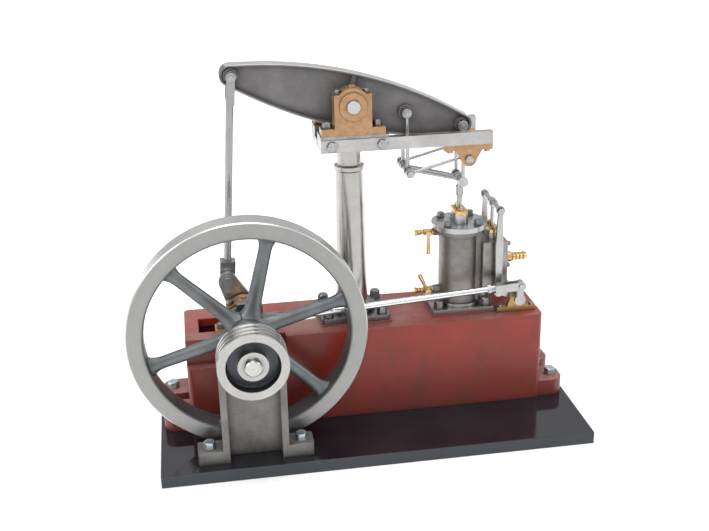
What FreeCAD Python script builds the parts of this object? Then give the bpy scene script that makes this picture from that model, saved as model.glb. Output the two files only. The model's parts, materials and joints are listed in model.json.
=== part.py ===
import FreeCAD, Part
import Sketcher
import math
import os

# A model beam engine on a black board.  X runs along the board, Y goes to the back,
# Z is up.  The origin is on the board's underside, on the engine's middle plane.

DOC = FreeCAD.newDocument("beam_engine")
SHEET = DOC.addObject("Spreadsheet::Sheet", "Sizes")
NODES = []


class Size:
    """A length or angle together with the sheet formula that gives it."""

    def __init__(self, text, value):
        self.text = text
        self.value = float(value)

    def __add__(self, other):
        other = as_size(other)
        return Size(f"({self.text} + {other.text})", self.value + other.value)

    def __radd__(self, other):
        return as_size(other) + self

    def __sub__(self, other):
        other = as_size(other)
        return Size(f"({self.text} - {other.text})", self.value - other.value)

    def __rsub__(self, other):
        return as_size(other) - self

    def __mul__(self, other):
        other = as_size(other)
        return Size(f"({self.text} * {other.text})", self.value * other.value)

    def __rmul__(self, other):
        return as_size(other) * self

    def __truediv__(self, other):
        other = as_size(other)
        return Size(f"({self.text} / {other.text})", self.value / other.value)

    def __neg__(self):
        return Size(f"(0 - {self.text})", -self.value)


def as_size(number):
    return number if isinstance(number, Size) else Size(repr(float(number)), number)


def cell(name, value):
    """Put one plain number in the sheet and give it its name."""
    row = f"A{cell.row}"
    SHEET.set(row, repr(float(value)))
    SHEET.setAlias(row, name)
    cell.row += 1
    return Size(f"Sizes.{name}", value)


cell.row = 1

# ---------------------------------------------------------------- driving sizes
# Clearances
running = cell("running_clearance", 0.06)
gap = cell("side_clearance", 0.3)
# Board
board_front = cell("board_front", 95.0)
board_back = cell("board_back", 50.0)
board_margin = cell("board_margin", 3.2)
board_thick = cell("board_thick", 10.0)
# Engine bed
bed_height = cell("bed_height", 74.9)
bed_half = cell("bed_half_width", 33.2)
bed_wall = cell("bed_wall", 12.0)
bed_roof = cell("bed_roof", 7.0)
bed_past_shaft = cell("bed_past_shaft", 47.0)
bed_past_cylinder = cell("bed_past_cylinder", 61.8)
bed_corner = cell("bed_corner", 4.0)
lug_reach = cell("lug_reach", 21.0)
lug_half = cell("lug_half_width", 13.0)
lug_thick = cell("lug_thick", 14.0)
lug_centre = cell("lug_centre", 18.5)
lug_corner = cell("lug_corner", 9.0)
recess_deep = cell("recess_depth", 7.0)
recess_tall = cell("recess_height", 21.0)
recess_past_shaft = cell("recess_past_shaft", 30.0)
pit_half = cell("pit_half_width", 13.0)
pit_left = cell("pit_left", 36.0)
pit_right = cell("pit_right", 36.0)
pad_high = cell("pad_height", 1.0)
# Crank and flywheel
crank_throw = cell("crank_throw", 25.4)
crank_angle = cell("crank_rest_angle", 25.0)
shaft_radius = cell("shaft_radius", 6.0)
web_inner = cell("web_inner", 5.2)
web_thick = cell("web_thick", 5.3)
web_hub = cell("web_hub_radius", 11.0)
web_tip = cell("web_tip_radius", 7.4)
pin_radius = cell("crank_pin_radius", 3.5)
wheel_radius = cell("wheel_radius", 88.9)
rim_depth = cell("rim_depth", 12.7)
wheel_front = cell("wheel_front", 64.4)
wheel_width = cell("wheel_width", 19.0)
hub_radius = cell("hub_radius", 13.5)
hub_length = cell("hub_length", 23.0)
spoke_angle = cell("spoke_angle", 16.0)
spoke_half = cell("spoke_half_width", 5.0)
spoke_thick = cell("spoke_half_thickness", 3.4)
# Belt pulley
pulley_radius = cell("pulley_radius", 25.4)
pulley_front = cell("pulley_front", 113.7)
pulley_width = cell("pulley_width", 19.7)
pulley_bowl = cell("pulley_bowl_radius", 19.4)
pulley_bowl_deep = cell("pulley_bowl_depth", 9.0)
pulley_hub = cell("pulley_hub_radius", 11.0)
groove_deep = cell("groove_depth", 2.2)
shaft_front = cell("shaft_front", 116.4)
# Bearings
bearing_rise = cell("bearing_rise", 16.3)
bearing_deep = cell("bearing_depth", 13.0)
bearing_half = cell("bearing_half_length", 23.3)
bearing_foot = cell("bearing_foot", 6.2)
bearing_block = cell("bearing_block_half", 13.8)
bearing_shoulder = cell("bearing_shoulder", 8.6)
bearing_arch = cell("bearing_arch_radius", 13.2)
bearing_ring = cell("bearing_ring_radius", 10.2)
ring_proud = cell("bearing_ring_proud", 0.8)
trunnion_proud = cell("trunnion_ring_proud", 1.6)
foot_bolt_pitch = cell("foot_bolt_pitch", 18.7)
cap_stud_pitch = cell("cap_stud_pitch", 10.8)
# Outer stand
stand_front = cell("stand_front", 85.8)
stand_deep = cell("stand_depth", 17.3)
stand_half = cell("stand_half_width", 24.6)
stand_web = cell("stand_web", 6.0)
stand_flange = cell("stand_flange", 5.0)
stand_top = cell("stand_top", 6.0)
stand_foot = cell("stand_foot_length", 18.6)
stand_foot_thick = cell("stand_foot_thick", 10.4)
# Column
pivot_x = cell("column_x", -8.5)
column_rise = cell("column_rise", 141.1)
column_plate = cell("column_plate_thick", 4.6)
column_plate_x = cell("column_plate_half_x", 27.3)
column_plate_y = cell("column_plate_half_y", 21.5)
column_flange = cell("column_flange_radius", 18.5)
column_foot_radius = cell("column_foot_radius", 12.6)
column_top_radius = cell("column_top_radius", 10.6)
column_neck = cell("column_neck_radius", 9.2)
column_neck_high = cell("column_neck_height", 17.0)
collar_radius = cell("collar_radius", 11.6)
column_bolt_x = cell("column_bolt_x", 21.4)
column_bolt_y = cell("column_bolt_y", 16.0)
# Entablature
rail_outer = cell("rail_outer", 27.5)
rail_thick = cell("rail_thick", 6.3)
rail_high = cell("rail_height", 9.5)
rail_past_column = cell("rail_past_column", 24.6)
rail_past_cylinder = cell("rail_past_cylinder", 18.0)
plate_thick = cell("plate_thick", 2.5)
plate_half = cell("plate_half_length", 25.4)
trunnion_rise = cell("trunnion_rise", 21.5)
trunnion_inner = cell("trunnion_inner", 13.5)
trunnion_half = cell("trunnion_half_length", 23.8)
trunnion_foot = cell("trunnion_foot", 5.5)
# Beam and its linkage
beam_half = cell("beam_half", 88.9)
beam_middle = cell("beam_middle_depth", 20.8)
beam_end = cell("beam_end_radius", 8.2)
beam_flange = cell("beam_flange", 1.8)
beam_width = cell("beam_half_width", 6.0)
beam_web = cell("beam_half_web", 2.2)
beam_shaft = cell("beam_shaft_radius", 4.8)
beam_shaft_end = cell("beam_shaft_end", 29.6)
beam_boss = cell("beam_boss_radius", 11.0)
small_boss = cell("small_boss_radius", 5.6)
link_length = cell("link_length", 44.45)
link_pin = cell("link_pin_radius", 1.9)
link_rod = cell("link_rod_radius", 1.55)
link_eye = cell("link_eye_radius", 3.9)
main_link_y = cell("main_link_y", 10.9)
back_link_y = cell("back_link_y", 8.9)
link_thick = cell("link_thickness", 3.4)
radius_rod_y = cell("radius_rod_y", 17.2)
radius_rod_thick = cell("radius_rod_thickness", 3.2)
bar_y = cell("parallel_bar_y", 5.2)
bar_thick = cell("parallel_bar_thickness", 2.8)
bracket_drop = cell("bracket_drop", 11.0)
bracket_plate = cell("bracket_plate", 4.2)
bracket_lobe = cell("bracket_lobe_radius", 5.8)
# Connecting rod
fork_inner = cell("fork_inner", 6.5)
fork_thick = cell("fork_thickness", 2.9)
fork_half = cell("fork_half_width", 3.1)
fork_long = cell("fork_length", 17.5)
conrod_radius = cell("conrod_radius", 2.95)
big_end_half = cell("big_end_half", 5.9)
big_end_high = cell("big_end_height", 14.6)
# Cylinder
cyl_plate_x = cell("cylinder_plate_half_x", 24.7)
cyl_plate_y = cell("cylinder_plate_half_y", 20.2)
cyl_plate = cell("cylinder_plate_thick", 3.6)
cyl_bolt_x = cell("cylinder_bolt_x", 19.0)
cyl_bolt_y = cell("cylinder_bolt_y", 14.0)
cyl_seat = cell("cylinder_seat_radius", 18.0)
cyl_seat_high = cell("cylinder_seat_height", 2.6)
cyl_radius = cell("cylinder_radius", 15.9)
cyl_bore = cell("cylinder_bore", 12.7)
cyl_flange = cell("cylinder_flange_radius", 20.4)
cyl_flange_thick = cell("cylinder_flange_thick", 3.4)
cover_radius = cell("cover_radius", 22.0)
cover_thick = cell("cover_thick", 4.0)
cover_bolts = cell("cover_bolt_circle", 17.0)
piston_thick = cell("piston_thick", 8.0)
piston_spare = cell("piston_end_clearance", 1.1)
piston_rod = cell("piston_rod_radius", 2.2)
gland_x = cell("gland_half_x", 5.0)
gland_y = cell("gland_half_y", 9.8)
box_high = cell("stuffing_box_height", 6.6)
gland_high = cell("gland_height", 4.0)
# Valve chest and gear
chest_x = cell("chest_from_axis", 16.2)
chest_long = cell("chest_length", 16.6)
chest_half = cell("chest_half_width", 16.0)
chest_low = cell("chest_low", 16.0)
chest_high = cell("chest_high", 41.6)
chest_wall = cell("chest_wall", 3.2)
chest_cover = cell("chest_cover_thick", 3.4)
valve_from_axis = cell("valve_from_axis", 27.2)
valve_rod = cell("valve_rod_radius", 1.5)
valve_box_high = cell("valve_box_height", 5.6)
valve_gland_high = cell("valve_gland_height", 2.6)
valve_pin_high = cell("valve_pin_height", 85.8)
rocker_x = cell("rocker_from_axis", 42.4)
rocker_high = cell("rocker_height", 13.7)
rocker_arm = cell("rocker_arm_length", 12.5)
rocker_arm_y = cell("rocker_arm_y", 32.0)
rocker_lever = cell("rocker_lever_length", 15.7)
rocker_lever_y = cell("rocker_lever_y", 17.6)
lifting_link_y = cell("lifting_link_y", 22.0)
rocker_bracket_y = cell("rocker_bracket_y", 21.5)
rocker_bracket_half = cell("rocker_bracket_half", 15.9)
eccentric_throw = cell("eccentric_throw", 3.2)
eccentric_lead = cell("eccentric_lead", 120.0)
sheave_wall = cell("sheave_wall", 1.4)
sheave_thick = cell("sheave_thick", 6.0)
strap_wall = cell("strap_wall", 3.34)
strap_lug_long = cell("strap_lug_length", 13.0)
eccentric_rod = cell("eccentric_rod_radius", 2.6)
# Steam inlet and cocks
inlet_high = cell("inlet_height", 38.4)
inlet_long = cell("inlet_length", 20.3)
inlet_collar = cell("inlet_collar_length", 7.5)
inlet_radius = cell("inlet_radius", 3.4)
inlet_bore = cell("inlet_bore", 1.8)
cock_plug = cell("cock_plug_from_boss", 5.0)
cock_low = cell("cock_low_height", 14.0)
cock_high = cell("cock_high_drop", 3.6)

# ------------------------------------------------------- sizes worked out from them


def derive(name, value):
    return cell(name, value)


def meet(centre, radius, other, other_radius, side):
    """One crossing of two circles; side picks which."""
    across = math.hypot(other[0] - centre[0], other[1] - centre[1])
    along = (radius ** 2 - other_radius ** 2 + across ** 2) / (2 * across)
    off = side * math.sqrt(radius ** 2 - along ** 2)
    ux = (other[0] - centre[0]) / across
    uz = (other[1] - centre[1]) / across
    return (centre[0] + along * ux - off * uz, centre[1] + along * uz + off * ux)


swing = math.asin(crank_throw.value / beam_half.value)
reach = derive("beam_mean_reach", beam_half.value * (1 + math.cos(swing)) / 2)
shaft_x = pivot_x - reach
cyl_x = pivot_x + reach
bed_top = board_thick + bed_height
seat_top = bed_top + pad_high
shaft_z = bed_top + bearing_rise
rail_low = bed_top + column_rise
rail_top = rail_low + rail_high
plate_top = rail_top + plate_thick
pivot_z = plate_top + trunnion_rise
bed_left = shaft_x - bed_past_shaft
bed_right = cyl_x + bed_past_cylinder
board_left = bed_left - lug_reach - board_margin
board_right = bed_right + lug_reach + board_margin

turn = math.radians(crank_angle.value)
pin_x = derive("crank_pin_x", shaft_x.value - crank_throw.value * math.sin(turn))
pin_z = derive("crank_pin_z", shaft_z.value + crank_throw.value * math.cos(turn))
rod_length = pivot_z.value - shaft_z.value
left_end = meet((pivot_x.value, pivot_z.value), beam_half.value,
                (pin_x.value, pin_z.value), rod_length, -1)
tilt = math.atan2(left_end[1] - pivot_z.value, pivot_x.value - left_end[0])
beam_tilt = derive("beam_tilt", math.degrees(tilt))
rod_lean = derive("rod_lean", math.degrees(math.atan2(left_end[0] - pin_x.value,
                                                      left_end[1] - pin_z.value)))
conrod_length = derive("conrod_length", rod_length)
left_x = derive("left_end_x", left_end[0])
left_z = derive("left_end_z", left_end[1])
right_x = derive("right_end_x", pivot_x.value + beam_half.value * math.cos(tilt))
right_z = derive("right_end_z", pivot_z.value - beam_half.value * math.sin(tilt))
spacing = beam_half / 2
back_x = derive("back_pin_x", pivot_x.value + spacing.value * math.cos(tilt))
back_z = derive("back_pin_z", pivot_z.value - spacing.value * math.sin(tilt))
link_drop = math.sqrt(link_length.value ** 2 - (right_x.value - cyl_x.value) ** 2)
head_z = derive("crosshead_z", right_z.value - link_drop)
cross_x = derive("cross_shaft_x", cyl_x.value - spacing.value * math.cos(tilt))
cross_z = derive("cross_shaft_z", head_z.value + spacing.value * math.sin(tilt))
link_lean = derive("link_lean", math.degrees(math.atan2(right_x.value - cyl_x.value, link_drop)))
bracket_z = rail_low - bracket_drop
radius_length = derive("radius_rod_length", math.hypot(cyl_x.value - cross_x.value,
                                                       bracket_z.value - cross_z.value))
radius_tilt = derive("radius_rod_tilt", math.degrees(math.atan2(bracket_z.value - cross_z.value,
                                                                cyl_x.value - cross_x.value)))
sheave_radius = shaft_radius + eccentric_throw + sheave_wall
strap_radius = sheave_radius + running + strap_wall
lead = math.radians(90 + crank_angle.value + eccentric_lead.value)
sheave_x = derive("sheave_x", shaft_x.value + eccentric_throw.value * math.cos(lead))
sheave_z = derive("sheave_z", shaft_z.value + eccentric_throw.value * math.sin(lead))
rocker_px = cyl_x + rocker_x
rocker_pz = bed_top + rocker_high
arm_z = rocker_pz + rocker_arm
valve_x = cyl_x + valve_from_axis
lever_run = rocker_px.value - valve_x.value
lever_rise = derive("lever_rise", math.sqrt(rocker_lever.value ** 2 - lever_run ** 2))
lever_pin_z = rocker_pz + lever_rise
valve_pin_z = bed_top + valve_pin_high
ecc_length = derive("eccentric_rod_length", math.hypot(rocker_px.value - sheave_x.value,
                                                       arm_z.value - sheave_z.value))
ecc_lean = derive("eccentric_rod_lean", -math.degrees(math.atan2(arm_z.value - sheave_z.value,
                                                                 rocker_px.value - sheave_x.value)))
cyl_floor = seat_top + cyl_plate + cyl_seat_high
bore_high = crank_throw * 2 + piston_thick + piston_spare * 2
cyl_top = cyl_floor + bore_high
cover_top = cyl_top + cover_thick
piston_mid = (cyl_floor + cyl_top) / 2
piston_z = derive("piston_z", piston_mid.value + head_z.value - (pivot_z.value - link_length.value))
gland_top = cover_top + box_high + gland_high
DOC.recompute()

# ----------------------------------------------------------------- building helpers
AXIS_TURN = {
    "x": FreeCAD.Rotation(FreeCAD.Vector(0, 1, 0), 90),
    "y": FreeCAD.Rotation(FreeCAD.Vector(1, 0, 0), -90),
    "z": FreeCAD.Rotation(),
}


def bind(thing, path, number):
    """Tie one property to its sheet formula."""
    thing.setExpression(path, as_size(number).text)


def bind_place(thing, x, y, z):
    bind(thing, "Placement.Base.x", x)
    bind(thing, "Placement.Base.y", y)
    bind(thing, "Placement.Base.z", z)


def made(kind, word="piece"):
    return DOC.addObject(kind, word)


def node(label, shape):
    """Name one finished sub-part; its file takes the same name."""
    shape.Label = label
    NODES.append(shape)
    return shape


def block(x0, x1, y0, y1, z0, z1):
    """A box between two corners."""
    piece = made("Part::Box")
    bind(piece, "Length", as_size(x1) - x0)
    bind(piece, "Width", as_size(y1) - y0)
    bind(piece, "Height", as_size(z1) - z0)
    bind_place(piece, x0, y0, z0)
    return piece


def rod(axis, x, y, z, radius, length):
    """A cylinder that starts at a point and runs along one axis."""
    piece = made("Part::Cylinder")
    bind(piece, "Radius", radius)
    bind(piece, "Height", length)
    piece.Placement = FreeCAD.Placement(FreeCAD.Vector(), AXIS_TURN[axis])
    bind_place(piece, x, y, z)
    return piece


def cone(axis, x, y, z, first, last, length):
    """A taper from one radius to another."""
    piece = made("Part::Cone")
    bind(piece, "Radius1", first)
    bind(piece, "Radius2", last)
    bind(piece, "Height", length)
    piece.Placement = FreeCAD.Placement(FreeCAD.Vector(), AXIS_TURN[axis])
    bind_place(piece, x, y, z)
    return piece


def prism(axis, x, y, z, flats, length):
    """A hexagon bar, sized across its flats."""
    piece = made("Part::Prism")
    piece.Polygon = 6
    bind(piece, "Circumradius", as_size(flats) / math.sqrt(3))
    bind(piece, "Height", length)
    piece.Placement = FreeCAD.Placement(FreeCAD.Vector(), AXIS_TURN[axis])
    bind_place(piece, x, y, z)
    return piece


def ball(x, y, z, radius):
    piece = made("Part::Sphere")
    bind(piece, "Radius", radius)
    bind_place(piece, x, y, z)
    return piece


def fuse(*pieces):
    whole = made("Part::MultiFuse")
    whole.Shapes = list(pieces)
    whole.Refine = True
    return whole


def cut(base, *tools):
    for tool in tools:
        whole = made("Part::Cut")
        whole.Base = base
        whole.Tool = tool
        base = whole
    return base


def common(*pieces):
    whole = made("Part::MultiCommon")
    whole.Shapes = list(pieces)
    return whole


def group(*pieces):
    """Separate solids kept together in one node."""
    whole = made("Part::Compound")
    whole.Links = list(pieces)
    return whole


def place(thing, x, y, z, angle=None):
    """Move a piece drawn at the origin; the angle turns it about Y."""
    if angle is not None:
        thing.Placement = FreeCAD.Placement(
            FreeCAD.Vector(), FreeCAD.Rotation(FreeCAD.Vector(0, 1, 0), angle.value))
        bind(thing, "Placement.Rotation.Angle", angle)
    bind_place(thing, x, y, z)
    return thing


def turned_about(thing, axis):
    thing.Placement = FreeCAD.Placement(FreeCAD.Vector(), AXIS_TURN[axis])
    return thing


def copies(master, spots):
    """The same piece at several spots."""
    found = []
    for x, y, z in spots:
        link = made("App::Link")
        link.LinkedObject = master
        link.LinkPlacement = master.Placement
        bind(link, "LinkPlacement.Base.x", x)
        bind(link, "LinkPlacement.Base.y", y)
        bind(link, "LinkPlacement.Base.z", z)
        found.append(link)
    return found


HEAD_CHAMFER = 0.22
HEAD_CORNER = 0.59
HEAD_FACE = 0.47


def hex_head(axis, flats, high, sign=1):
    """A chamfered hexagon head that stands off the origin along one axis."""
    flats = as_size(flats)
    high = as_size(high)
    chamfer = high * HEAD_CHAMFER
    step = {"x": (1, 0, 0), "y": (0, 1, 0), "z": (0, 0, 1)}[axis]
    start = as_size(0) if sign > 0 else -high
    barrel_at = start if sign > 0 else start + chamfer
    barrel = rod(axis, *[barrel_at * k for k in step], flats * HEAD_CORNER, high - chamfer)
    if sign > 0:
        bevel = cone(axis, *[(high - chamfer) * k for k in step], flats * HEAD_CORNER,
                     flats * HEAD_FACE, chamfer)
    else:
        bevel = cone(axis, *[start * k for k in step], flats * HEAD_FACE,
                     flats * HEAD_CORNER, chamfer)
    return common(prism(axis, *[start * k for k in step], flats, high), fuse(barrel, bevel))


PLANES = {"xy": "XY_Plane", "xz": "XZ_Plane", "yz": "YZ_Plane"}


def new_body(word):
    return DOC.addObject("PartDesign::Body", word)


def sketch_on(body, plane, offset=0):
    """An empty sketch on one of the body's own planes."""
    sketch = body.newObject("Sketcher::SketchObject", "outline")
    base = [f for f in body.Origin.OriginFeatures if f.Role == PLANES[plane]][0]
    sketch.AttachmentSupport = [(base, "")]
    sketch.MapMode = "FlatFace"
    bind(sketch, "AttachmentOffset.Base.z", offset)
    return sketch


def hold(sketch, kind, geo, spot, number, name):
    """A named distance from the sketch's origin, tied to the sheet."""
    number = as_size(number)
    at = sketch.addConstraint(Sketcher.Constraint(kind, -1, 1, geo, spot, number.value))
    sketch.renameConstraint(at, name)
    sketch.setExpression(f"Constraints.{name}", number.text)


def polygon(sketch, corners):
    """A closed outline of straight lines through the corners."""
    first = sketch.GeometryCount
    count = len(corners)
    for i, (x, y) in enumerate(corners):
        nx, ny = corners[(i + 1) % count]
        start = FreeCAD.Vector(as_size(x).value, as_size(y).value, 0)
        end = FreeCAD.Vector(as_size(nx).value, as_size(ny).value, 0)
        sketch.addGeometry(Part.LineSegment(start, end))
    for i, (x, y) in enumerate(corners):
        following = first + (i + 1) % count
        sketch.addConstraint(Sketcher.Constraint("Coincident", first + i, 2, following, 1))
        hold(sketch, "DistanceX", first + i, 1, x, f"x{first + i}")
        hold(sketch, "DistanceY", first + i, 1, y, f"y{first + i}")


def circle(sketch, x, y, radius):
    geo = sketch.GeometryCount
    radius = as_size(radius)
    centre = FreeCAD.Vector(as_size(x).value, as_size(y).value, 0)
    sketch.addGeometry(Part.Circle(centre, FreeCAD.Vector(0, 0, 1), radius.value))
    at = sketch.addConstraint(Sketcher.Constraint("Radius", geo, radius.value))
    sketch.renameConstraint(at, f"r{geo}")
    sketch.setExpression(f"Constraints.r{geo}", radius.text)
    hold(sketch, "DistanceX", geo, 3, x, f"x{geo}")
    hold(sketch, "DistanceY", geo, 3, y, f"y{geo}")


def pad(body, sketch, length):
    feature = body.newObject("PartDesign::Pad", "pad")
    feature.Profile = sketch
    bind(feature, "Length", length)
    return feature


def plate_y(word, corners, holes, y0, y1):
    """A plate that lies across Y, cut from an outline in X and Z."""
    body = new_body(word)
    sketch = sketch_on(body, "xz", -as_size(y1))
    polygon(sketch, corners)
    for x, z, radius in holes:
        circle(sketch, x, z, radius)
    pad(body, sketch, as_size(y1) - y0)
    return body


def plate_z(word, corners, holes, z0, z1):
    """A plate that lies flat, cut from an outline in X and Y."""
    body = new_body(word)
    sketch = sketch_on(body, "xy", z0)
    polygon(sketch, corners)
    for x, y, radius in holes:
        circle(sketch, x, y, radius)
    pad(body, sketch, as_size(z1) - z0)
    return body


def oblong(x0, x1, y0, y1):
    return [(x0, y0), (x1, y0), (x1, y1), (x0, y1)]


def turning(word, axis, corners):
    """A piece turned on a lathe; corners are (along the axis, radius)."""
    body = new_body(word)
    if axis == "z":
        sketch = sketch_on(body, "xz")
        polygon(sketch, [(radius, along) for along, radius in corners])
        line = "V_Axis"
    else:
        sketch = sketch_on(body, "xy" if axis == "x" else "yz")
        polygon(sketch, corners)
        line = "H_Axis"
    feature = body.newObject("PartDesign::Revolution", "turned")
    feature.Profile = sketch
    feature.ReferenceAxis = (sketch, [line])
    feature.Angle = 360
    return body


def fillet_upright(body, base, radius, picks, direction):
    """Round the edges along one direction that pass through the given points."""
    DOC.recompute()
    radius = as_size(radius)
    names = []
    for number, edge in enumerate(base.Shape.Edges, 1):
        ends = [vertex.Point for vertex in edge.Vertexes]
        if len(ends) != 2:
            continue
        along = (ends[1] - ends[0]).normalize()
        if abs(abs(along.dot(direction)) - 1) > 0.001:
            continue
        if any(picker(ends[0]) for picker in picks):
            names.append(f"Edge{number}")
    feature = body.newObject("PartDesign::Fillet", "rounded")
    feature.Base = (base, names)
    bind(feature, "Radius", radius)
    return feature


UP = FreeCAD.Vector(0, 0, 1)


def anywhere(point):
    return True


def near(axis, number):
    value = as_size(number).value
    return lambda point: abs(point[axis] - value) < 0.01


def arm(word, length, root, tip, y0, y1, holes, x, z, angle):
    """A flat arm: two round ends joined by tangent sides, turned about Y to its angle."""
    length = as_size(length)
    root = as_size(root)
    tip = as_size(tip)
    body = new_body(word)
    sketch = sketch_on(body, "xz", -as_size(y1))
    lean = math.asin((root.value - tip.value) / length.value)
    up = math.pi / 2 - lean
    ends = [(0.0, root.value, up, 2 * math.pi - up), (length.value, tip.value, -up, up)]
    for along, radius, start, stop in ends:
        ring = Part.Circle(FreeCAD.Vector(along, 0, 0), FreeCAD.Vector(0, 0, 1), radius)
        sketch.addGeometry(Part.ArcOfCircle(ring, start, stop))
    for side in (1, -1):
        first = FreeCAD.Vector(root.value * math.cos(up), side * root.value * math.sin(up), 0)
        last = FreeCAD.Vector(length.value + tip.value * math.cos(up),
                              side * tip.value * math.sin(up), 0)
        sketch.addGeometry(Part.LineSegment(first, last))
    sketch.addConstraint(Sketcher.Constraint("Tangent", 0, 1, 2, 1))
    sketch.addConstraint(Sketcher.Constraint("Tangent", 1, 2, 2, 2))
    sketch.addConstraint(Sketcher.Constraint("Tangent", 0, 2, 3, 1))
    sketch.addConstraint(Sketcher.Constraint("Tangent", 1, 1, 3, 2))
    hold(sketch, "DistanceX", 0, 3, 0, "root_x")
    hold(sketch, "DistanceY", 0, 3, 0, "root_y")
    hold(sketch, "DistanceX", 1, 3, length, "tip_x")
    hold(sketch, "DistanceY", 1, 3, 0, "tip_y")
    for geo, radius in ((0, root), (1, tip)):
        at = sketch.addConstraint(Sketcher.Constraint("Radius", geo, radius.value))
        sketch.renameConstraint(at, f"end{geo}")
        sketch.setExpression(f"Constraints.end{geo}", radius.text)
    for along, radius in holes:
        circle(sketch, along, 0, radius)
    pad(body, sketch, as_size(y1) - y0)
    return place(body, x, 0, z, angle)


def hanger(length, y, thick, eye, bar, bore_top, bore_low):
    """A round bar with an eye at each end, drawn hanging from the origin."""
    half = as_size(thick) / 2
    upper = rod("y", 0, y - half, 0, eye, thick)
    lower = rod("y", 0, y - half, -as_size(length), eye, thick)
    bar_piece = rod("z", 0, y, -as_size(length), bar, length)
    whole = fuse(upper, lower, bar_piece)
    holes = []
    for bore, drop in ((bore_top, 0), (bore_low, -as_size(length))):
        if bore is not None:
            holes.append(rod("y", 0, y - thick, drop, bore, as_size(thick) * 2))
    return cut(whole, *holes)


# --------------------------------------------------------------------------- board
board = plate_z("board_blank", oblong(board_left, board_right, -board_front, board_back),
                [], 0, board_thick)
node("base_board", board)

# ----------------------------------------------------------------------------- bed
# A hollow casting: walls, a roof, four lugs, a pit for the crank and a step in the
# front wall that leaves room for the eccentric.
lug_left = bed_left - lug_reach
lug_right = bed_right + lug_reach
bed = plate_z("bed_blank", oblong(bed_left, bed_right, -bed_half, bed_half), [],
              board_thick, bed_top)
fillet_upright(bed, bed.Tip, bed_corner, [anywhere], UP)
hollow = block(bed_left + bed_wall, bed_right - bed_wall, bed_wall - bed_half,
               bed_half - bed_wall, board_thick, bed_top - bed_roof)
pit = block(shaft_x - pit_left, shaft_x + pit_right, -pit_half, pit_half,
            bed_top - bed_roof * 2, bed_top + pad_high * 2)
step_cut = block(bed_left - lug_reach, shaft_x + recess_past_shaft, -bed_half * 2,
                 recess_deep - bed_half, bed_top - recess_tall, bed_top + pad_high)
lugs = []
for inner, outer in ((bed_left + bed_corner, lug_left), (bed_right - bed_corner, lug_right)):
    for side in (-1, 1):
        low_x, high_x = (outer, inner) if outer.value < inner.value else (inner, outer)
        lug = plate_z("lug", oblong(low_x, high_x, lug_centre * side - lug_half,
                                    lug_centre * side + lug_half), [],
                      board_thick, board_thick + lug_thick)
        fillet_upright(lug, lug.Tip, lug_corner, [near(0, outer)], UP)
        lugs.append(lug)
column_pad = block(pivot_x - column_plate_x - 1, pivot_x + column_plate_x + 1,
                   -column_plate_y - 1, column_plate_y + 1, bed_top - 1, seat_top)
cylinder_pad = block(cyl_x - cyl_plate_x - 1, cyl_x + cyl_plate_x + 1,
                     -cyl_plate_y - 1, cyl_plate_y + 1, bed_top - 1, seat_top)
bed_bolt_x = [bed_left - lug_reach * 0.62, bed_right + lug_reach * 0.62]
bolt_shank = as_size(2.4)
holes = [rod("z", x, lug_centre * side, board_thick - 1, bolt_shank, lug_thick + 2)
         for x in bed_bolt_x for side in (-1, 1)]
node("engine_bed", cut(fuse(bed, column_pad, cylinder_pad, *lugs), hollow, pit, step_cut, *holes))

# ----------------------------------------------------------------------- outer stand
# A cast pedestal in front of the flywheel: a web between two flanges on two feet.
stand_back = stand_deep - stand_front
stand_mid = (stand_deep / 2) - stand_front
stand_face = -stand_front
stand_parts = [block(shaft_x - stand_half, shaft_x + stand_half, stand_back - stand_web, stand_back,
                     board_thick, bed_top)]
for side in (-1, 1):
    edge = shaft_x + stand_half * side
    inner = shaft_x + (stand_half - stand_flange) * side
    outer = shaft_x + (stand_half + stand_foot) * side
    low_x, high_x = (edge, inner) if side < 0 else (inner, edge)
    stand_parts.append(block(low_x, high_x, stand_face, stand_back, board_thick, bed_top))
    low_x, high_x = (outer, inner) if side < 0 else (inner, outer)
    foot = plate_z("foot", oblong(low_x, high_x, stand_face, stand_back), [], board_thick,
                   board_thick + stand_foot_thick)
    fillet_upright(foot, foot.Tip, 2, [near(0, outer)], UP)
    stand_parts.append(foot)
stand_parts.append(block(shaft_x - stand_half, shaft_x + stand_half, stand_face, stand_back,
                         bed_top - stand_top, bed_top))
stand_bolt = stand_half + stand_foot * 0.52
holes = [rod("z", shaft_x + stand_bolt * side, stand_mid, board_thick - 1, bolt_shank,
             stand_foot_thick + 2) for side in (-1, 1)]
node("outer_stand", cut(fuse(*stand_parts), *holes))

# Hexagon bolts that hold the bed and the stand to the board.
washer_radius = as_size(4.9)
washer_thick = as_size(0.8)


def hold_down(shank_long):
    """A washer and head on top of the lug, with the shank going down through it."""
    head = hex_head("z", 8.0, 4.2)
    bind(head, "Placement.Base.z", washer_thick)
    return fuse(rod("z", 0, 0, 0, washer_radius, washer_thick), head,
                rod("z", 0, 0, -as_size(shank_long), bolt_shank, shank_long))


lug_spots = [(x, lug_centre * side, board_thick + lug_thick) for x in bed_bolt_x
             for side in (-1, 1)]
stand_spots = [(shaft_x + stand_bolt * side, stand_mid, board_thick + stand_foot_thick)
               for side in (-1, 1)]
node("hold_down_bolts", group(*copies(hold_down(lug_thick), lug_spots),
                              *copies(hold_down(stand_foot_thick), stand_spots)))

# ------------------------------------------------------------------- plummer blocks


oil_boss = as_size(2.6)
spot_face = as_size(3.1)
nut_shank = as_size(1.6)
nut_hole = as_size(1.7)


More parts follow.
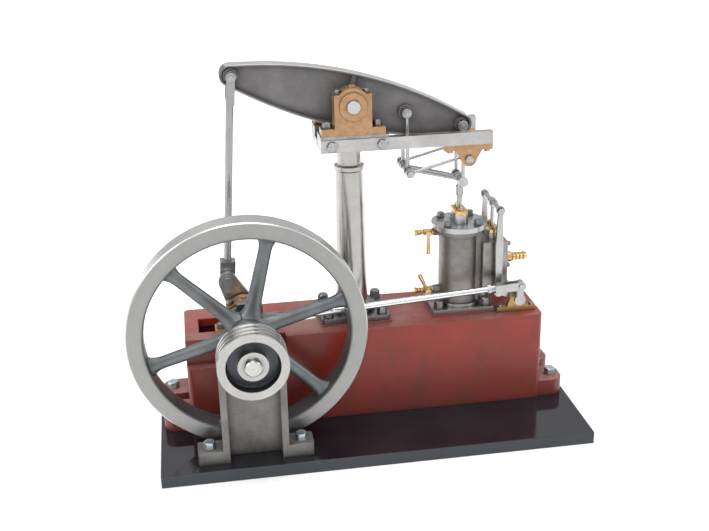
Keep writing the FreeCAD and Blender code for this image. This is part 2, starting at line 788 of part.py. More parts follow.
def plummer(x, y0, y1, base, axis, half, foot, bore, ring, proud):
    """A block with a foot each side, split through its axis; the lower half and the cap."""
    deep = y1 - y0
    middle = y0 + deep / 2
    far = half * 2
    ring_y = y0 - proud if ring < 0 else y0
    ring_long = deep + proud if ring else deep
    above = (x - far, x + far, y0 - far, y1 + far, axis, axis + far)
    solid = fuse(block(x - half, x + half, y0, y1, base, base + foot),
                 block(x - bearing_block, x + bearing_block, y0, y1, base, axis + bearing_shoulder),
                 rod("y", x, ring_y, axis, bearing_ring, ring_long))
    feet = [rod("z", x + foot_bolt_pitch * side, middle, base - foot, nut_hole, foot * 3)
            for side in (-1, 1)]
    lower = cut(solid, rod("y", x, y0 - far, axis, bore, far * 2 + deep), block(*above), *feet)
    arch = fuse(block(x - bearing_block, x + bearing_block, y0, y1, base + foot,
                      axis + bearing_shoulder),
                rod("y", x, y0, axis, bearing_arch, deep),
                rod("y", x, ring_y, axis, bearing_ring, ring_long),
                rod("z", x, middle, axis, oil_boss, bearing_arch + 1.4))
    faces = [rod("z", x + cap_stud_pitch * side, middle, axis + bearing_shoulder, spot_face, far)
             for side in (-1, 1)]
    bored = cut(arch, rod("y", x, y0 - far, axis, bore, far * 2 + deep), *faces)
    return lower, common(bored, block(*above))


shaft_bore = shaft_radius + running
beam_bore = beam_shaft + running
trunnion_outer = trunnion_inner + bearing_deep
outer_y = stand_mid - bearing_deep / 2
bearing_sets = [("front_bearing", shaft_x, -bearing_deep * 2, bed_top, shaft_z, -1),
                ("outer_bearing", shaft_x, outer_y, bed_top, shaft_z, 0),
                ("front_trunnion", pivot_x, -trunnion_outer, plate_top, pivot_z, -1),
                ("back_trunnion", pivot_x, trunnion_inner, plate_top, pivot_z, 1)]
caps = []
trunnions = []
small_nut_spots = []
tall_nut_spots = []
cap_nut_spots = []
for label, x, y0, base, axis, ring in bearing_sets:
    on_top = label.endswith("trunnion")
    half = trunnion_half if on_top else bearing_half
    foot = trunnion_foot if on_top else bearing_foot
    bore = beam_bore if on_top else shaft_bore
    proud = trunnion_proud if on_top else ring_proud
    lower, cap = plummer(x, y0, y0 + bearing_deep, base, axis, half, foot, bore, ring, proud)
    caps.append(cap)
    if on_top:
        trunnions.append(lower)
    else:
        node(label, lower)
    spots = tall_nut_spots if on_top else small_nut_spots
    for side in (-1, 1):
        spots.append((x + foot_bolt_pitch * side, y0 + bearing_deep / 2, base + foot))
        cap_nut_spots.append((x + cap_stud_pitch * side, y0 + bearing_deep / 2,
                              axis + bearing_shoulder))
node("trunnions", group(*trunnions))
node("bearing_caps", group(*caps))


def foot_bolt(flats, high, foot):
    """A head on a bearing's foot and the shank that goes down through the foot."""
    return fuse(hex_head("z", flats, high), rod("z", 0, 0, -foot, nut_shank, foot))


node("bearing_nuts", group(*copies(foot_bolt(5.6, 3.4, bearing_foot), small_nut_spots),
                           *copies(foot_bolt(6.4, 4.6, trunnion_foot), tall_nut_spots),
                           *copies(hex_head("z", 4.6, 3.2), cap_nut_spots)))

# --------------------------------------------------------------------------- column
plate_mark = seat_top + column_plate
foot_plate = plate_z("foot_blank", oblong(pivot_x - column_plate_x, pivot_x + column_plate_x,
                                           -column_plate_y, column_plate_y), [], seat_top, plate_mark)
fillet_upright(foot_plate, foot_plate.Tip, 3, [anywhere], UP)
flange_high = as_size(3.4)
flange = rod("z", pivot_x, 0, seat_top, column_flange, column_plate + flange_high)
foot_whole = fuse(foot_plate, flange)
node("column_foot", foot_whole)
column_base = plate_mark + flange_high
column_profile = [(0, 0), (0, column_foot_radius + 2.4), (2.2, column_foot_radius + 2.4),
                  (4.4, column_foot_radius),
                  (rail_low - column_base - column_neck_high - 4, column_top_radius),
                  (rail_low - column_base - column_neck_high - 3, collar_radius),
                  (rail_low - column_base - column_neck_high, collar_radius),
                  (rail_low - column_base - column_neck_high + 1, column_neck),
                  (rail_low - column_base, column_neck), (rail_low - column_base, 0)]
node("column", place(turning("column", "z", column_profile), pivot_x, 0, column_base))
column_spots = [(pivot_x + column_bolt_x * sx, column_bolt_y * sy, plate_mark)
                for sx in (-1, 1) for sy in (-1, 1)]
tall_head = hex_head("z", 7.2, 6.4)
screw_radius = as_size(1.6)
screw = common(ball(0, 0, 0, screw_radius), block(-screw_radius, screw_radius, -screw_radius,
                                                  screw_radius, 0, screw_radius))
screw_at = (column_flange + column_foot_radius + 2.4) / 2 / math.sqrt(2)
screw_spots = [(pivot_x + screw_at * sx, screw_at * sy, column_base)
               for sx in (-1, 1) for sy in (-1, 1)]
node("column_bolts", group(*copies(tall_head, column_spots), *copies(screw, screw_spots)))

# ----------------------------------------------------------------------- entablature
rail_inner = rail_outer - rail_thick
ent_left = pivot_x - rail_past_column
ent_right = ent_left + plate_half * 2
slot_half = beam_width + 1.4
slot_low = rail_low + 5.0
node("entablature", cut(fuse(
    block(ent_left, ent_right, -rail_inner, rail_inner, rail_low, rail_top),
    block(ent_left, ent_right, 0.8 - rail_outer, rail_outer - 0.8, rail_top, plate_top)),
    block(ent_left - 1, ent_right + 1, -slot_half, slot_half, slot_low, plate_top + 1)))
rail_end = cyl_x + rail_past_cylinder
node("front_rail", block(ent_left, rail_end, -rail_outer, -rail_inner, rail_low, rail_top))
node("back_rail", block(ent_left, rail_end, rail_inner, rail_outer, rail_low, rail_top))
rail_bolt_x = [ent_left + 8.4, ent_right - 5.0]
rail_mid = (rail_low + rail_top) / 2
front_head = hex_head("y", 7.0, 2.6, -1)
back_head = hex_head("y", 7.0, 2.6)
bracket_head = hex_head("y", 5.6, 2.2, -1)
bracket_tail = hex_head("y", 5.6, 2.2)
screw_head = hex_head("z", 4.2, 2.0, -1)
bracket_low = rail_low - bracket_plate
screw_x = [cyl_x - rail_past_cylinder + 3.6, rail_end - 3.6]
rail_mid_y = (rail_outer + rail_inner) / 2
node("rail_bolts", group(
    *copies(front_head, [(x, -rail_outer, rail_mid) for x in rail_bolt_x]),
    *copies(back_head, [(x, rail_outer, rail_mid) for x in rail_bolt_x]),
    *copies(bracket_head, [(cyl_x, -rail_outer, bracket_z)]),
    *copies(bracket_tail, [(cyl_x, rail_outer, bracket_z)]),
    *copies(screw_head, [(x, rail_mid_y * side, bracket_low) for x in screw_x
                         for side in (-1, 1)])))

# Brackets under the rails that anchor the radius rods.
bracket_left = cyl_x - rail_past_cylinder - 1
lobe = bracket_lobe
for label, y0, y1, pin_y in (("front_radius_bracket", -rail_outer, -rail_inner, -rail_inner),
                             ("back_radius_bracket", rail_inner, rail_outer, rail_inner)):
    shape = plate_y("bracket_blank", [(bracket_left, rail_low), (bracket_left, bracket_low),
                            (bracket_left + 8, bracket_low), (cyl_x - lobe, bracket_z),
                            (cyl_x + lobe, bracket_z), (rail_end - 8, bracket_low),
                            (rail_end, bracket_low), (rail_end, rail_low)], [], y0, y1)
    lobe_end = rod("y", cyl_x, y0, bracket_z, lobe, y1 - y0)
    pin_long = rail_inner - radius_rod_y + radius_rod_thick / 2
    start = -rail_inner if pin_y.value < 0 else rail_inner - pin_long
    node(label, fuse(shape, lobe_end, rod("y", cyl_x, start, bracket_z, link_pin, pin_long)))

# --------------------------------------------------------------------------- cylinder
cyl_plate_top = seat_top + cyl_plate
base_plate = plate_z("base_blank", oblong(cyl_x - cyl_plate_x, cyl_x + cyl_plate_x,
                                             -cyl_plate_y, cyl_plate_y), [], seat_top, cyl_plate_top)
node("cylinder_base", fuse(base_plate, rod("z", cyl_x, 0, cyl_plate_top, cyl_seat, cyl_seat_high)))
barrel = rod("z", cyl_x, 0, cyl_floor, cyl_radius, bore_high)
top_flange = rod("z", cyl_x, 0, cyl_top - cyl_flange_thick, cyl_flange, cyl_flange_thick)
chest_left = cyl_x + chest_x
chest_right = chest_left + chest_long
chest_bottom = bed_top + chest_low
chest_top = chest_bottom + chest_high
port_half = as_size(11.0)
ports = block(cyl_x + cyl_radius / 2, chest_left, -port_half, port_half, cyl_floor, cyl_top)
high_boss = rod("x", cyl_x - cyl_flange - 0.4, 0, cyl_top - cock_high, 3.4, cyl_flange / 2)
low_boss = rod("x", cyl_x - cyl_flange - 0.4, 0, cyl_floor + cock_low - 6, 3.6, cyl_flange / 2)
bore_cut = rod("z", cyl_x, 0, cyl_floor - 1, cyl_bore, bore_high + 2)
node("cylinder", cut(fuse(barrel, top_flange, ports, high_boss, low_boss), bore_cut))

cover_disc = rod("z", cyl_x, 0, cyl_top, cover_radius, cover_thick)
spigot = rod("z", cyl_x, 0, cyl_top - 0.8, cyl_bore, 0.8)
stuffing = common(rod("z", cyl_x, 0, cover_top - 1, gland_y, box_high + 1),
                  block(cyl_x - gland_x, cyl_x + gland_x, -gland_y, gland_y, cover_top - 1,
                        cover_top + box_high))
rod_hole = rod("z", cyl_x, 0, cyl_top - 2, piston_rod + running, cover_thick + box_high + 9)
node("cylinder_cover", cut(fuse(cover_disc, spigot, stuffing), rod_hole))
gland_plate = common(rod("z", cyl_x, 0, cover_top + box_high, gland_y, gland_high),
                     block(cyl_x - gland_x, cyl_x + gland_x, -gland_y, gland_y,
                           cover_top + box_high, gland_top))
gland_hole = rod("z", cyl_x, 0, cover_top, piston_rod + running, box_high + gland_high + 9)
gland_studs = [fuse(rod("z", cyl_x, gland_y * 0.68 * side, gland_top, 1.1, 3.6),
                    prism("z", cyl_x, gland_y * 0.68 * side, gland_top, 3.6, 2.0))
               for side in (-1, 1)]
glands = [cut(gland_plate, gland_hole), *gland_studs]
cover_head = hex_head("z", 5.2, 4.0)
cover_ring = cover_bolts / math.sqrt(2)
base_head = hex_head("z", 7.2, 6.4)
node("cylinder_bolts", group(
    *copies(cover_head, [(cyl_x + cover_ring * sx, cover_ring * sy, cover_top)
                         for sx in (-1, 1) for sy in (-1, 1)]),
    *copies(base_head, [(cyl_x + cyl_bolt_x * sx, cyl_bolt_y * sy, cyl_plate_top)
                        for sx in (-1, 1) for sy in (-1, 1)])))

# ------------------------------------------------------------------------ valve chest
chest_box = block(chest_left, chest_right, -chest_half, chest_half, chest_bottom, chest_top)
chest_room = block(chest_left, chest_right, chest_wall - chest_half, chest_half - chest_wall,
                   chest_bottom + chest_wall, chest_top - chest_wall)
back_wall = block(chest_left, chest_left + chest_wall, chest_wall - chest_half,
                  chest_half - chest_wall, chest_bottom, chest_top)
valve_box = common(rod("z", valve_x, 0, chest_top - 1, 10.0, valve_box_high + 1),
                   block(valve_x - 4.6, valve_x + 4.6, -10, 10, chest_top - 1,
                         chest_top + valve_box_high))
valve_hole = rod("z", valve_x, 0, chest_bottom + chest_wall, valve_rod + running,
                 chest_high + valve_box_high)
node("valve_chest", cut(fuse(cut(chest_box, chest_room), back_wall, valve_box), valve_hole))
valve_gland_top = chest_top + valve_box_high + valve_gland_high
valve_gland = common(rod("z", valve_x, 0, chest_top + valve_box_high, 10.4, valve_gland_high),
                     block(valve_x - 4.4, valve_x + 4.4, -11, 11, chest_top + valve_box_high,
                           valve_gland_top))
gland_bore = rod("z", valve_x, 0, chest_top, valve_rod + running, valve_box_high + 9)
valve_studs = [fuse(rod("z", valve_x, 7.2 * side, valve_gland_top, 0.9, 3.0),
                    prism("z", valve_x, 7.2 * side, valve_gland_top, 3.0, 1.6))
               for side in (-1, 1)]
node("glands", group(*glands, cut(valve_gland, gland_bore), *valve_studs))
cover_far = chest_right + chest_cover
inlet_z = bed_top + inlet_high
chest_plate = block(chest_right, cover_far, -chest_half, chest_half, chest_bottom, chest_top)
inlet_hole = rod("x", chest_right - 1, 0, inlet_z, inlet_bore, chest_cover + 2)
node("chest_cover", cut(chest_plate, inlet_hole))
stud_head = hex_head("x", 3.8, 2.4)
stud_y = chest_half - 2.6
stud_rows = [chest_bottom + 2.6, (chest_bottom + chest_top) / 2, chest_top - 2.6]
chest_studs = copies(stud_head, [(cover_far, stud_y * side, z) for z in stud_rows
                                 for side in (-1, 1)])
barb_root = inlet_radius - 0.6
barb_land = as_size(0.6)
collar_half = inlet_radius + 0.9
barb = [(0, inlet_bore), (0, collar_half), (inlet_collar, collar_half), (inlet_collar, barb_root)]
barb_count = 4
barb_first = inlet_collar + 1.0
barb_pitch = (inlet_long - barb_first) / barb_count
for ridge in range(barb_count):
    start = barb_first + barb_pitch * ridge
    barb.append((start, barb_root))
    barb.append((start, inlet_radius))
    barb.append((start + barb_land, inlet_radius))
    barb.append((start + barb_pitch - 0.4, barb_root))
barb.append((inlet_long, barb_root))
barb.append((inlet_long, inlet_bore))
node("steam_inlet", place(turning("steam_inlet", "x", barb), cover_far, 0, inlet_z))

# ------------------------------------------------------------------------ drain cocks
cock_end = cyl_x - cyl_flange - 0.4
cock_body = [(0, 0), (0, 2.6), (-1.4, 2.6), (-2.2, 1.8), (-2.8, 2.7), (2.2 - cock_plug * 2, 2.7),
             (1.6 - cock_plug * 2, 1.8), (-10.0, 1.8), (-11.0, 2.5), (-12.4, 1.7), (-13.6, 2.5),
             (-15.2, 2.7), (-15.2, 0)]
cocks = []
for z in (cyl_top - cock_high, cyl_floor + cock_low - 6):
    cocks.append(place(turning("cock", "x", cock_body), cock_end, 0, z))
plug_bore = as_size(1.5)
bored = [cut(cock, rod("y", cock_end - cock_plug, -9, z, plug_bore + running, 18))
         for cock, z in zip(cocks, (cyl_top - cock_high, cyl_floor + cock_low - 6))]
node("drain_cocks", group(*bored))

# --------------------------------------------------------------------- rocker brackets
bracket_half = rocker_bracket_half
bracket_foot_top = bed_top + 4.2
rocker_radius = as_size(2.2)
rocker_bore = rocker_radius + running
for label, side in (("front_rocker_bracket", -1), ("back_rocker_bracket", 1)):
    y0 = rocker_bracket_y * side - 2
    y1 = rocker_bracket_y * side + 2
    shape = plate_y("rocker_blank", [
        (rocker_px - bracket_half, bed_top), (rocker_px + bracket_half, bed_top),
        (rocker_px + bracket_half, bracket_foot_top), (rocker_px + 7.6, bracket_foot_top),
        (rocker_px + 4.6, rocker_pz), (rocker_px - 4.6, rocker_pz),
        (rocker_px - 7.6, bracket_foot_top), (rocker_px - bracket_half, bracket_foot_top)],
        [], y0, y1)
    head = rod("y", rocker_px, y0, rocker_pz, 4.6, 4)
    node(label, cut(fuse(shape, head), rod("y", rocker_px, y0 - 1, rocker_pz, rocker_bore, 6)))
foot_screw = hex_head("z", 3.8, 2.2)
foot_screws = copies(foot_screw, [(rocker_px + (bracket_half - 3) * sx, rocker_bracket_y * sy,
                                   bracket_foot_top) for sx in (-1, 1) for sy in (-1, 1)])
node("chest_studs", group(*chest_studs, *foot_screws))

# ------------------------------------------------------------------------- crankshaft
web_outer = web_inner + web_thick
front_profile = [(-shaft_front, 0), (-shaft_front, shaft_radius - 0.6),
                 (0.6 - shaft_front, shaft_radius), (-web_inner, shaft_radius), (-web_inner, 0)]
node("crank_shaft", place(turning("shaft_blank", "y", front_profile), shaft_x, 0, shaft_z))
web_turn = -(crank_angle + 90)
nut_radius = as_size(5.6)
nut_thick = as_size(1.2)
washer_flat = as_size(0.8)
web = arm("web", crank_throw, web_hub, web_tip, -web_outer, -web_inner, [(0, shaft_radius)],
          shaft_x, shaft_z, web_turn)
node("crank_web", fuse(web, rod("y", pin_x, -web_outer - washer_flat, pin_z, nut_radius, washer_flat),
                       prism("y", pin_x, -web_outer - washer_flat - nut_thick, pin_z,
                             nut_radius * 1.3, nut_thick)))

# Flywheel: a turned rim, six oval spokes and a hub.
wheel_back = wheel_width - wheel_front
hub_front = -wheel_front - 2.0
hub_back = hub_front + hub_length
rim_inner = wheel_radius - rim_depth
rim_sketch = [(-wheel_front, rim_inner), (-wheel_front, wheel_radius - 0.8),
              (0.8 - wheel_front, wheel_radius), (wheel_back - 0.8, wheel_radius),
              (wheel_back, wheel_radius - 0.8), (wheel_back, rim_inner)]
rim = turning("rim", "y", rim_sketch)
hub = turning("hub", "y", [(hub_front, shaft_radius), (hub_front, hub_radius - 1.5),
                           (hub_front + 1.5, hub_radius), (hub_back - 1.5, hub_radius),
                           (hub_back, hub_radius - 1.5), (hub_back, shaft_radius)])
wheel_mid = (wheel_back - wheel_front) / 2
spokes = []
for number in range(6):
    sections = []
    for at, wider in ((hub_radius - 2, 1.12), (rim_inner + 2, 0.9)):
        oval = made("Part::Ellipse")
        bind(oval, "MajorRadius", spoke_half * wider)
        bind(oval, "MinorRadius", spoke_thick * wider)
        bind(oval, "Placement.Base.z", at)
        sections.append(oval)
    spoke = made("Part::Loft")
    spoke.Sections = sections
    spoke.Solid = True
    spoke.Ruled = True
    turned_about(spoke, "x")
    bind(spoke, "Placement.Base.y", wheel_mid)
    spokes.append(place(group(spoke), 0, 0, 0, -(spoke_angle + 60 * number)))
wheel = fuse(rim, hub, *spokes)
node("flywheel", place(wheel, shaft_x, 0, shaft_z))

# Belt pulley with four ridges, a bowl in its front face and a hub to the stand.
pulley_face = -pulley_front
pulley_rear = pulley_width - pulley_front
ridges = 4
land = pulley_width * 0.13
valley = (pulley_width - land * ridges) / (ridges - 1)
bowl_floor = pulley_face + pulley_bowl_deep
bowl_chamfer = as_size(1.5)
pulley_points = [(bowl_floor, pulley_hub), (bowl_floor, pulley_bowl - bowl_chamfer),
                 (bowl_floor - bowl_chamfer, pulley_bowl), (pulley_face, pulley_bowl),
                 (pulley_face, pulley_radius)]
for ridge in range(ridges):
    start = pulley_face + (land + valley) * ridge
    if ridge:
        pulley_points.append((start, pulley_radius))
    pulley_points.append((start + land, pulley_radius))
    if ridge < ridges - 1:
        pulley_points.append((start + land + valley * 0.32, pulley_radius - groove_deep))
        pulley_points.append((start + land + valley * 0.68, pulley_radius - groove_deep))
hub_stop = -stand_front - 0.6
pulley_points += [(pulley_rear, pulley_hub), (hub_stop, pulley_hub), (hub_stop, shaft_radius),
                  (pulley_face + 1.2, shaft_radius), (pulley_face + 1.2, pulley_hub)]
node("belt_pulley", place(turning("belt_pulley", "y", pulley_points), shaft_x, 0, shaft_z))

# Eccentric sheave between the flywheel and the bed.
sheave_mid = -rocker_arm_y
sheave_y0 = sheave_mid - sheave_thick / 2
sheave_y1 = sheave_mid + sheave_thick / 2
boss_proud = as_size(1.6)
boss_radius = shaft_radius + 2.0
sheave = fuse(rod("y", sheave_x, sheave_y0, sheave_z, sheave_radius, sheave_thick),
              rod("y", shaft_x, sheave_y0 - boss_proud, shaft_z, boss_radius, boss_proud),
              rod("y", shaft_x, sheave_y1, shaft_z, boss_radius, boss_proud))
node("eccentric_sheave", cut(sheave, rod("y", shaft_x, sheave_y0 - boss_proud * 2, shaft_z, shaft_radius,
                                         sheave_thick + boss_proud * 4)))

# ------------------------------------------------------------------- eccentric strap
strap_y0 = sheave_y0 + gap
strap_y1 = sheave_y1 - gap
strap_deep = strap_y1 - strap_y0
strap_ring = rod("y", 0, strap_y0, 0, strap_radius, strap_deep)
lug_half = as_size(5.0)
ear_half = as_size(4.0)
ear_proud = as_size(2.6)
lug_from = sheave_radius + running
strap_lug = block(lug_from, strap_radius + strap_lug_long, strap_y0, strap_y1, -lug_half, lug_half)
strap_ears = block(-ear_half, ear_half, strap_y0, strap_y1,
                   -strap_radius - ear_proud, strap_radius + ear_proud)
strap = cut(fuse(strap_ring, strap_lug, strap_ears),
            rod("y", 0, strap_y0 - 1, 0, sheave_radius + running, strap_deep + 2))
node("eccentric_strap", place(strap, sheave_x, 0, sheave_z, ecc_lean))
tongue_at = strap_radius + strap_lug_long
tongue_long = as_size(28.0)
fork_slot = as_size(15.0)
fork_root = ecc_length - fork_slot
tongue = block(tongue_at, tongue_at + tongue_long, strap_y0 + 1, strap_y1 - 1, -3.4, 3.4)
rod_start = tongue_at + tongue_long - 2
round_rod = rod("x", rod_start, sheave_mid, 0, eccentric_rod, fork_root - rod_start - 4)
lock_nut = prism("x", fork_root - 12, sheave_mid, 0, 6.4, 3.0)
node("eccentric_rod", place(fuse(tongue, round_rod), sheave_x, 0, sheave_z, ecc_lean))
tine = as_size(1.9)
arm_y = -rocker_arm_y
arm_half = as_size(1.3)
tine_in = arm_half + gap
fork_low = arm_y - tine_in - tine
fork_high = arm_y + tine_in + tine
fork_block = block(fork_root - 6, fork_root + 2, fork_low, fork_high, -3.2, 3.2)
fork_neck = rod("x", fork_root - 9, sheave_mid, 0, eccentric_rod + 0.6, 4)
tines = []
for y0 in (fork_low, arm_y + tine_in):
    tines.append(block(fork_root, ecc_length, y0, y0 + tine, -3.2, 3.2))
    tines.append(rod("y", ecc_length, y0, 0, 3.7, tine))
fork_pin = rod("y", ecc_length, fork_low - 1.2, 0, 2.2, 1.2)
rod_gap = cut(fuse(fork_block, fork_neck, lock_nut, fork_pin, *tines),
              rod("x", fork_root - 14, sheave_mid, 0, eccentric_rod, 10))
node("rod_fork", place(rod_gap, sheave_x, 0, sheave_z, ecc_lean))

# ------------------------------------------------------------------------ rocker gear
rocker_front = arm_y - arm_half
rocker_back = rocker_bracket_y + 3.4
rocker_shaft = rod("y", rocker_px, rocker_front, rocker_pz, rocker_radius, rocker_back - rocker_front)
arm_plate = [rod("y", rocker_px, arm_y - arm_half, rocker_pz, 4.4, arm_half * 2),
             rod("y", rocker_px, arm_y - arm_half, arm_z, 3.6, arm_half * 2),
             block(rocker_px - 2.6, rocker_px + 2.6, arm_y - arm_half, arm_y + arm_half, rocker_pz, arm_z)]
rocker_parts = [fuse(rocker_shaft, *arm_plate)]
lever_lean = derive("lever_lean", math.degrees(math.atan2(lever_rise.value, lever_run)) + 180.0)
DOC.recompute()
link_pieces = []
link_drop_y = valve_pin_z - lever_pin_z
for side in (-1, 1):
    lever_y0 = rocker_lever_y * side - 1.2
    lever = arm("lever", rocker_lever, 4.4, 3.4, lever_y0, lever_y0 + 2.4, [(0, rocker_radius)],
                rocker_px, rocker_pz, lever_lean)
    lever_face = (rocker_lever_y + 1.2) * side
    stub_y = 0.3 - lifting_link_y + 1.4 if side < 0 else lever_face
    rocker_parts.append(fuse(lever, rod("y", valve_x, stub_y, lever_pin_z, 2.6,
                                        lifting_link_y - 1.4 - 0.3 - rocker_lever_y - 1.2)))
    link_y0 = lifting_link_y * side - 1.4
    belly = plate_y("lifting_link", [(-1.7, 0), (-3.1, -link_drop_y * 0.45), (-2.5, -link_drop_y * 0.8),
                                     (-2.2, -link_drop_y), (2.2, -link_drop_y),
                                     (2.5, -link_drop_y * 0.8), (3.1, -link_drop_y * 0.45), (1.7, 0)],
                    [], link_y0, link_y0 + 2.8)
    nut_y = link_y0 - 1.8 if side < 0 else link_y0 + 2.8
    eyes = [rod("y", 0, link_y0, 0, 3.5, 2.8), rod("y", 0, link_y0, -link_drop_y, 3.5, 2.8),
            prism("y", 0, nut_y, -link_drop_y, 5.6, 1.8)]
    link_pieces.append(place(cut(fuse(belly, *eyes), rod("y", 0, link_y0 - 1, 0, valve_rod, 5)),
                             valve_x, 0, valve_pin_z))
node("valve_rocker", group(*rocker_parts))
node("lifting_links", group(*link_pieces))
head_half = lifting_link_y + 3.4
link_in = lifting_link_y - 1.4
valve_low = (chest_bottom + chest_top) / 2
node("valve_spindle", fuse(
    rod("y", valve_x, -head_half, valve_pin_z, valve_rod, head_half * 2),
    rod("y", valve_x, -link_in, valve_pin_z, 2.2, link_in * 2),
    rod("y", valve_x, -3, valve_pin_z, 3.6, 6),
    prism("y", valve_x, -head_half - 0.3, valve_pin_z, 5.0, 1.9),
    prism("y", valve_x, head_half - 1.6, valve_pin_z, 5.0, 1.9),
    rod("z", valve_x, 0, valve_low, valve_rod, valve_pin_z - valve_low)))
slide = cut(block(chest_left + chest_wall + 0.2, valve_x + 4, -8, 8, valve_low - 8, valve_low + 8),
            rod("z", valve_x, 0, valve_low, valve_rod, 30),
            block(chest_left, chest_left + chest_wall + 2.2, -5, 5, valve_low - 4, valve_low + 4))
node("slide_valve", slide)

# -------------------------------------------------------------------------------- beam


def lens(rise, end, inset, step_count):
    """The outline of the beam: a shallow arc above and below, round at each end."""
    points = []
    for side in (1, -1):
        for number in range(step_count + 1):
            share = 2.0 * number / step_count - 1
            along = beam_half * share * side
            depth = end + (rise - end) * (1 - share * share) - inset
            points.append((along, depth * side))
    return points


beam_depth_end = beam_end
arc_steps = 44
outer = plate_y("beam_flange", lens(beam_middle, beam_depth_end, 0, arc_steps), [], -beam_width, beam_width)
outer_ends = [rod("y", beam_half * side, -beam_width, 0, beam_end, beam_width * 2)
              for side in (-1, 1)]
pocket_cuts = []
for y0, y1 in ((-beam_width - 1, -beam_web), (beam_web, beam_width + 1)):
    inner = plate_y("beam_pocket", lens(beam_middle, beam_depth_end, beam_flange, arc_steps), [], y0, y1)
    ends = [rod("y", beam_half * side, y0, 0, beam_end - beam_flange, y1 - y0) for side in (-1, 1)]
    pocket_cuts.append(fuse(inner, *ends))
bosses = [rod("y", 0, -trunnion_inner + gap, 0, beam_boss - 2.5, (trunnion_inner - gap) * 2),
          rod("y", 0, -beam_width - 1.4, 0, beam_boss, (beam_width + 1.4) * 2)]
link_boss = back_link_y - link_thick / 2 - gap
main_boss = main_link_y - link_thick / 2 - gap
bosses.append(rod("y", -beam_half, 0.5 - fork_inner, 0, small_boss, (fork_inner - 0.5) * 2))
bosses.append(rod("y", beam_half, -main_boss, 0, 3.6, main_boss * 2))
bosses.append(rod("y", spacing, -link_boss, 0, 3.4, link_boss * 2))
bosses.append(rod("y", beam_half, -beam_web - 2.4, 0, small_boss - 0.4, (beam_web + 2.4) * 2))
bosses.append(rod("y", spacing, -beam_web - 2.4, 0, small_boss, (beam_web + 2.4) * 2))
ribs = [block(-1.6, 1.6, -beam_width + 1, beam_width - 1, 0, beam_middle - beam_flange / 2)]
pins_cut = [rod("y", 0, -40, 0, beam_shaft, 80), rod("y", -beam_half, -40, 0, link_pin, 80),
            rod("y", beam_half, -40, 0, link_pin, 80), rod("y", spacing, -40, 0, link_pin, 80)]
beam_shape = cut(fuse(cut(fuse(outer, *outer_ends), *pocket_cuts), *bosses, *ribs), *pins_cut)
node("beam", place(beam_shape, pivot_x, 0, pivot_z, beam_tilt))
node("beam_shaft", rod("y", pivot_x, -beam_shaft_end, pivot_z, beam_shaft, beam_shaft_end * 2))
fork_pin_end = fork_inner + fork_thick + 0.8
main_pin_end = main_link_y + link_thick / 2 + 0.2
back_pin_end = back_link_y + link_thick / 2 + 0.2


def capped_pin(x, z, end, head, thick):
    """A pin through the beam with a washer and a domed nut outside each eye."""
    pieces = [rod("y", x, -end, z, link_pin, end * 2)]
    for side in (-1, 1):
        start = -end - thick if side < 0 else end
        pieces.append(rod("y", x, start, z, head, thick))
        tip = -end - thick - 0.8 if side < 0 else end + thick
        pieces.append(rod("y", x, tip, z, head * 0.55, 0.8))
    return fuse(*pieces)


node("beam_pins", group(capped_pin(left_x, left_z, fork_pin_end, 3.3, 1.2),
                        capped_pin(back_x, back_z, back_pin_end, 2.6, 1.2),
                        capped_pin(right_x, right_z, main_pin_end, 2.6, 1.2)))

# ---------------------------------------------------------------------- connecting rod
pin_bore = link_pin + running
fork_outer = fork_inner + fork_thick
fork_parts = []
for side in (-1, 1):
    y0 = -fork_outer if side < 0 else fork_inner
    fork_parts.append(rod("y", 0, y0, 0, fork_half + 1.0, fork_thick))
    fork_parts.append(block(-fork_half, fork_half, y0, y0 + fork_thick, -fork_long - 3, 0))
fork_parts.append(block(-fork_half, fork_half, -fork_outer, fork_outer, -fork_long - 3.6, -fork_long + 0.4))
shank_low = big_end_high - conrod_length
shank_long = conrod_length - fork_long - big_end_high - 1
shank = cone("z", 0, 0, shank_low, conrod_radius * 1.05, conrod_radius, shank_long)
rod_whole = cut(fuse(shank, *fork_parts), rod("y", 0, -20, 0, pin_bore, 40))
node("connecting_rod", place(rod_whole, left_x, 0, left_z, rod_lean))
big_half_y = web_inner - gap
big_block = fuse(block(-big_end_half, big_end_half, -big_half_y, big_half_y, 5.2 - conrod_length, shank_low),
                 block(-big_end_half, big_end_half, -big_half_y, big_half_y, -conrod_length - 6.2,
                       5.2 - conrod_length))
big_end = cut(big_block, rod("y", 0, -20, -conrod_length, pin_radius, 40))
node("big_end", place(big_end, left_x, 0, left_z, rod_lean))
node("crank_pin", fuse(rod("y", pin_x, -big_half_y, pin_z, pin_radius, big_half_y * 2),
                       rod("y", pin_x, big_half_y, pin_z, nut_radius, washer_flat),
                       prism("y", pin_x, big_half_y + washer_flat, pin_z, nut_radius * 1.3, nut_thick)))

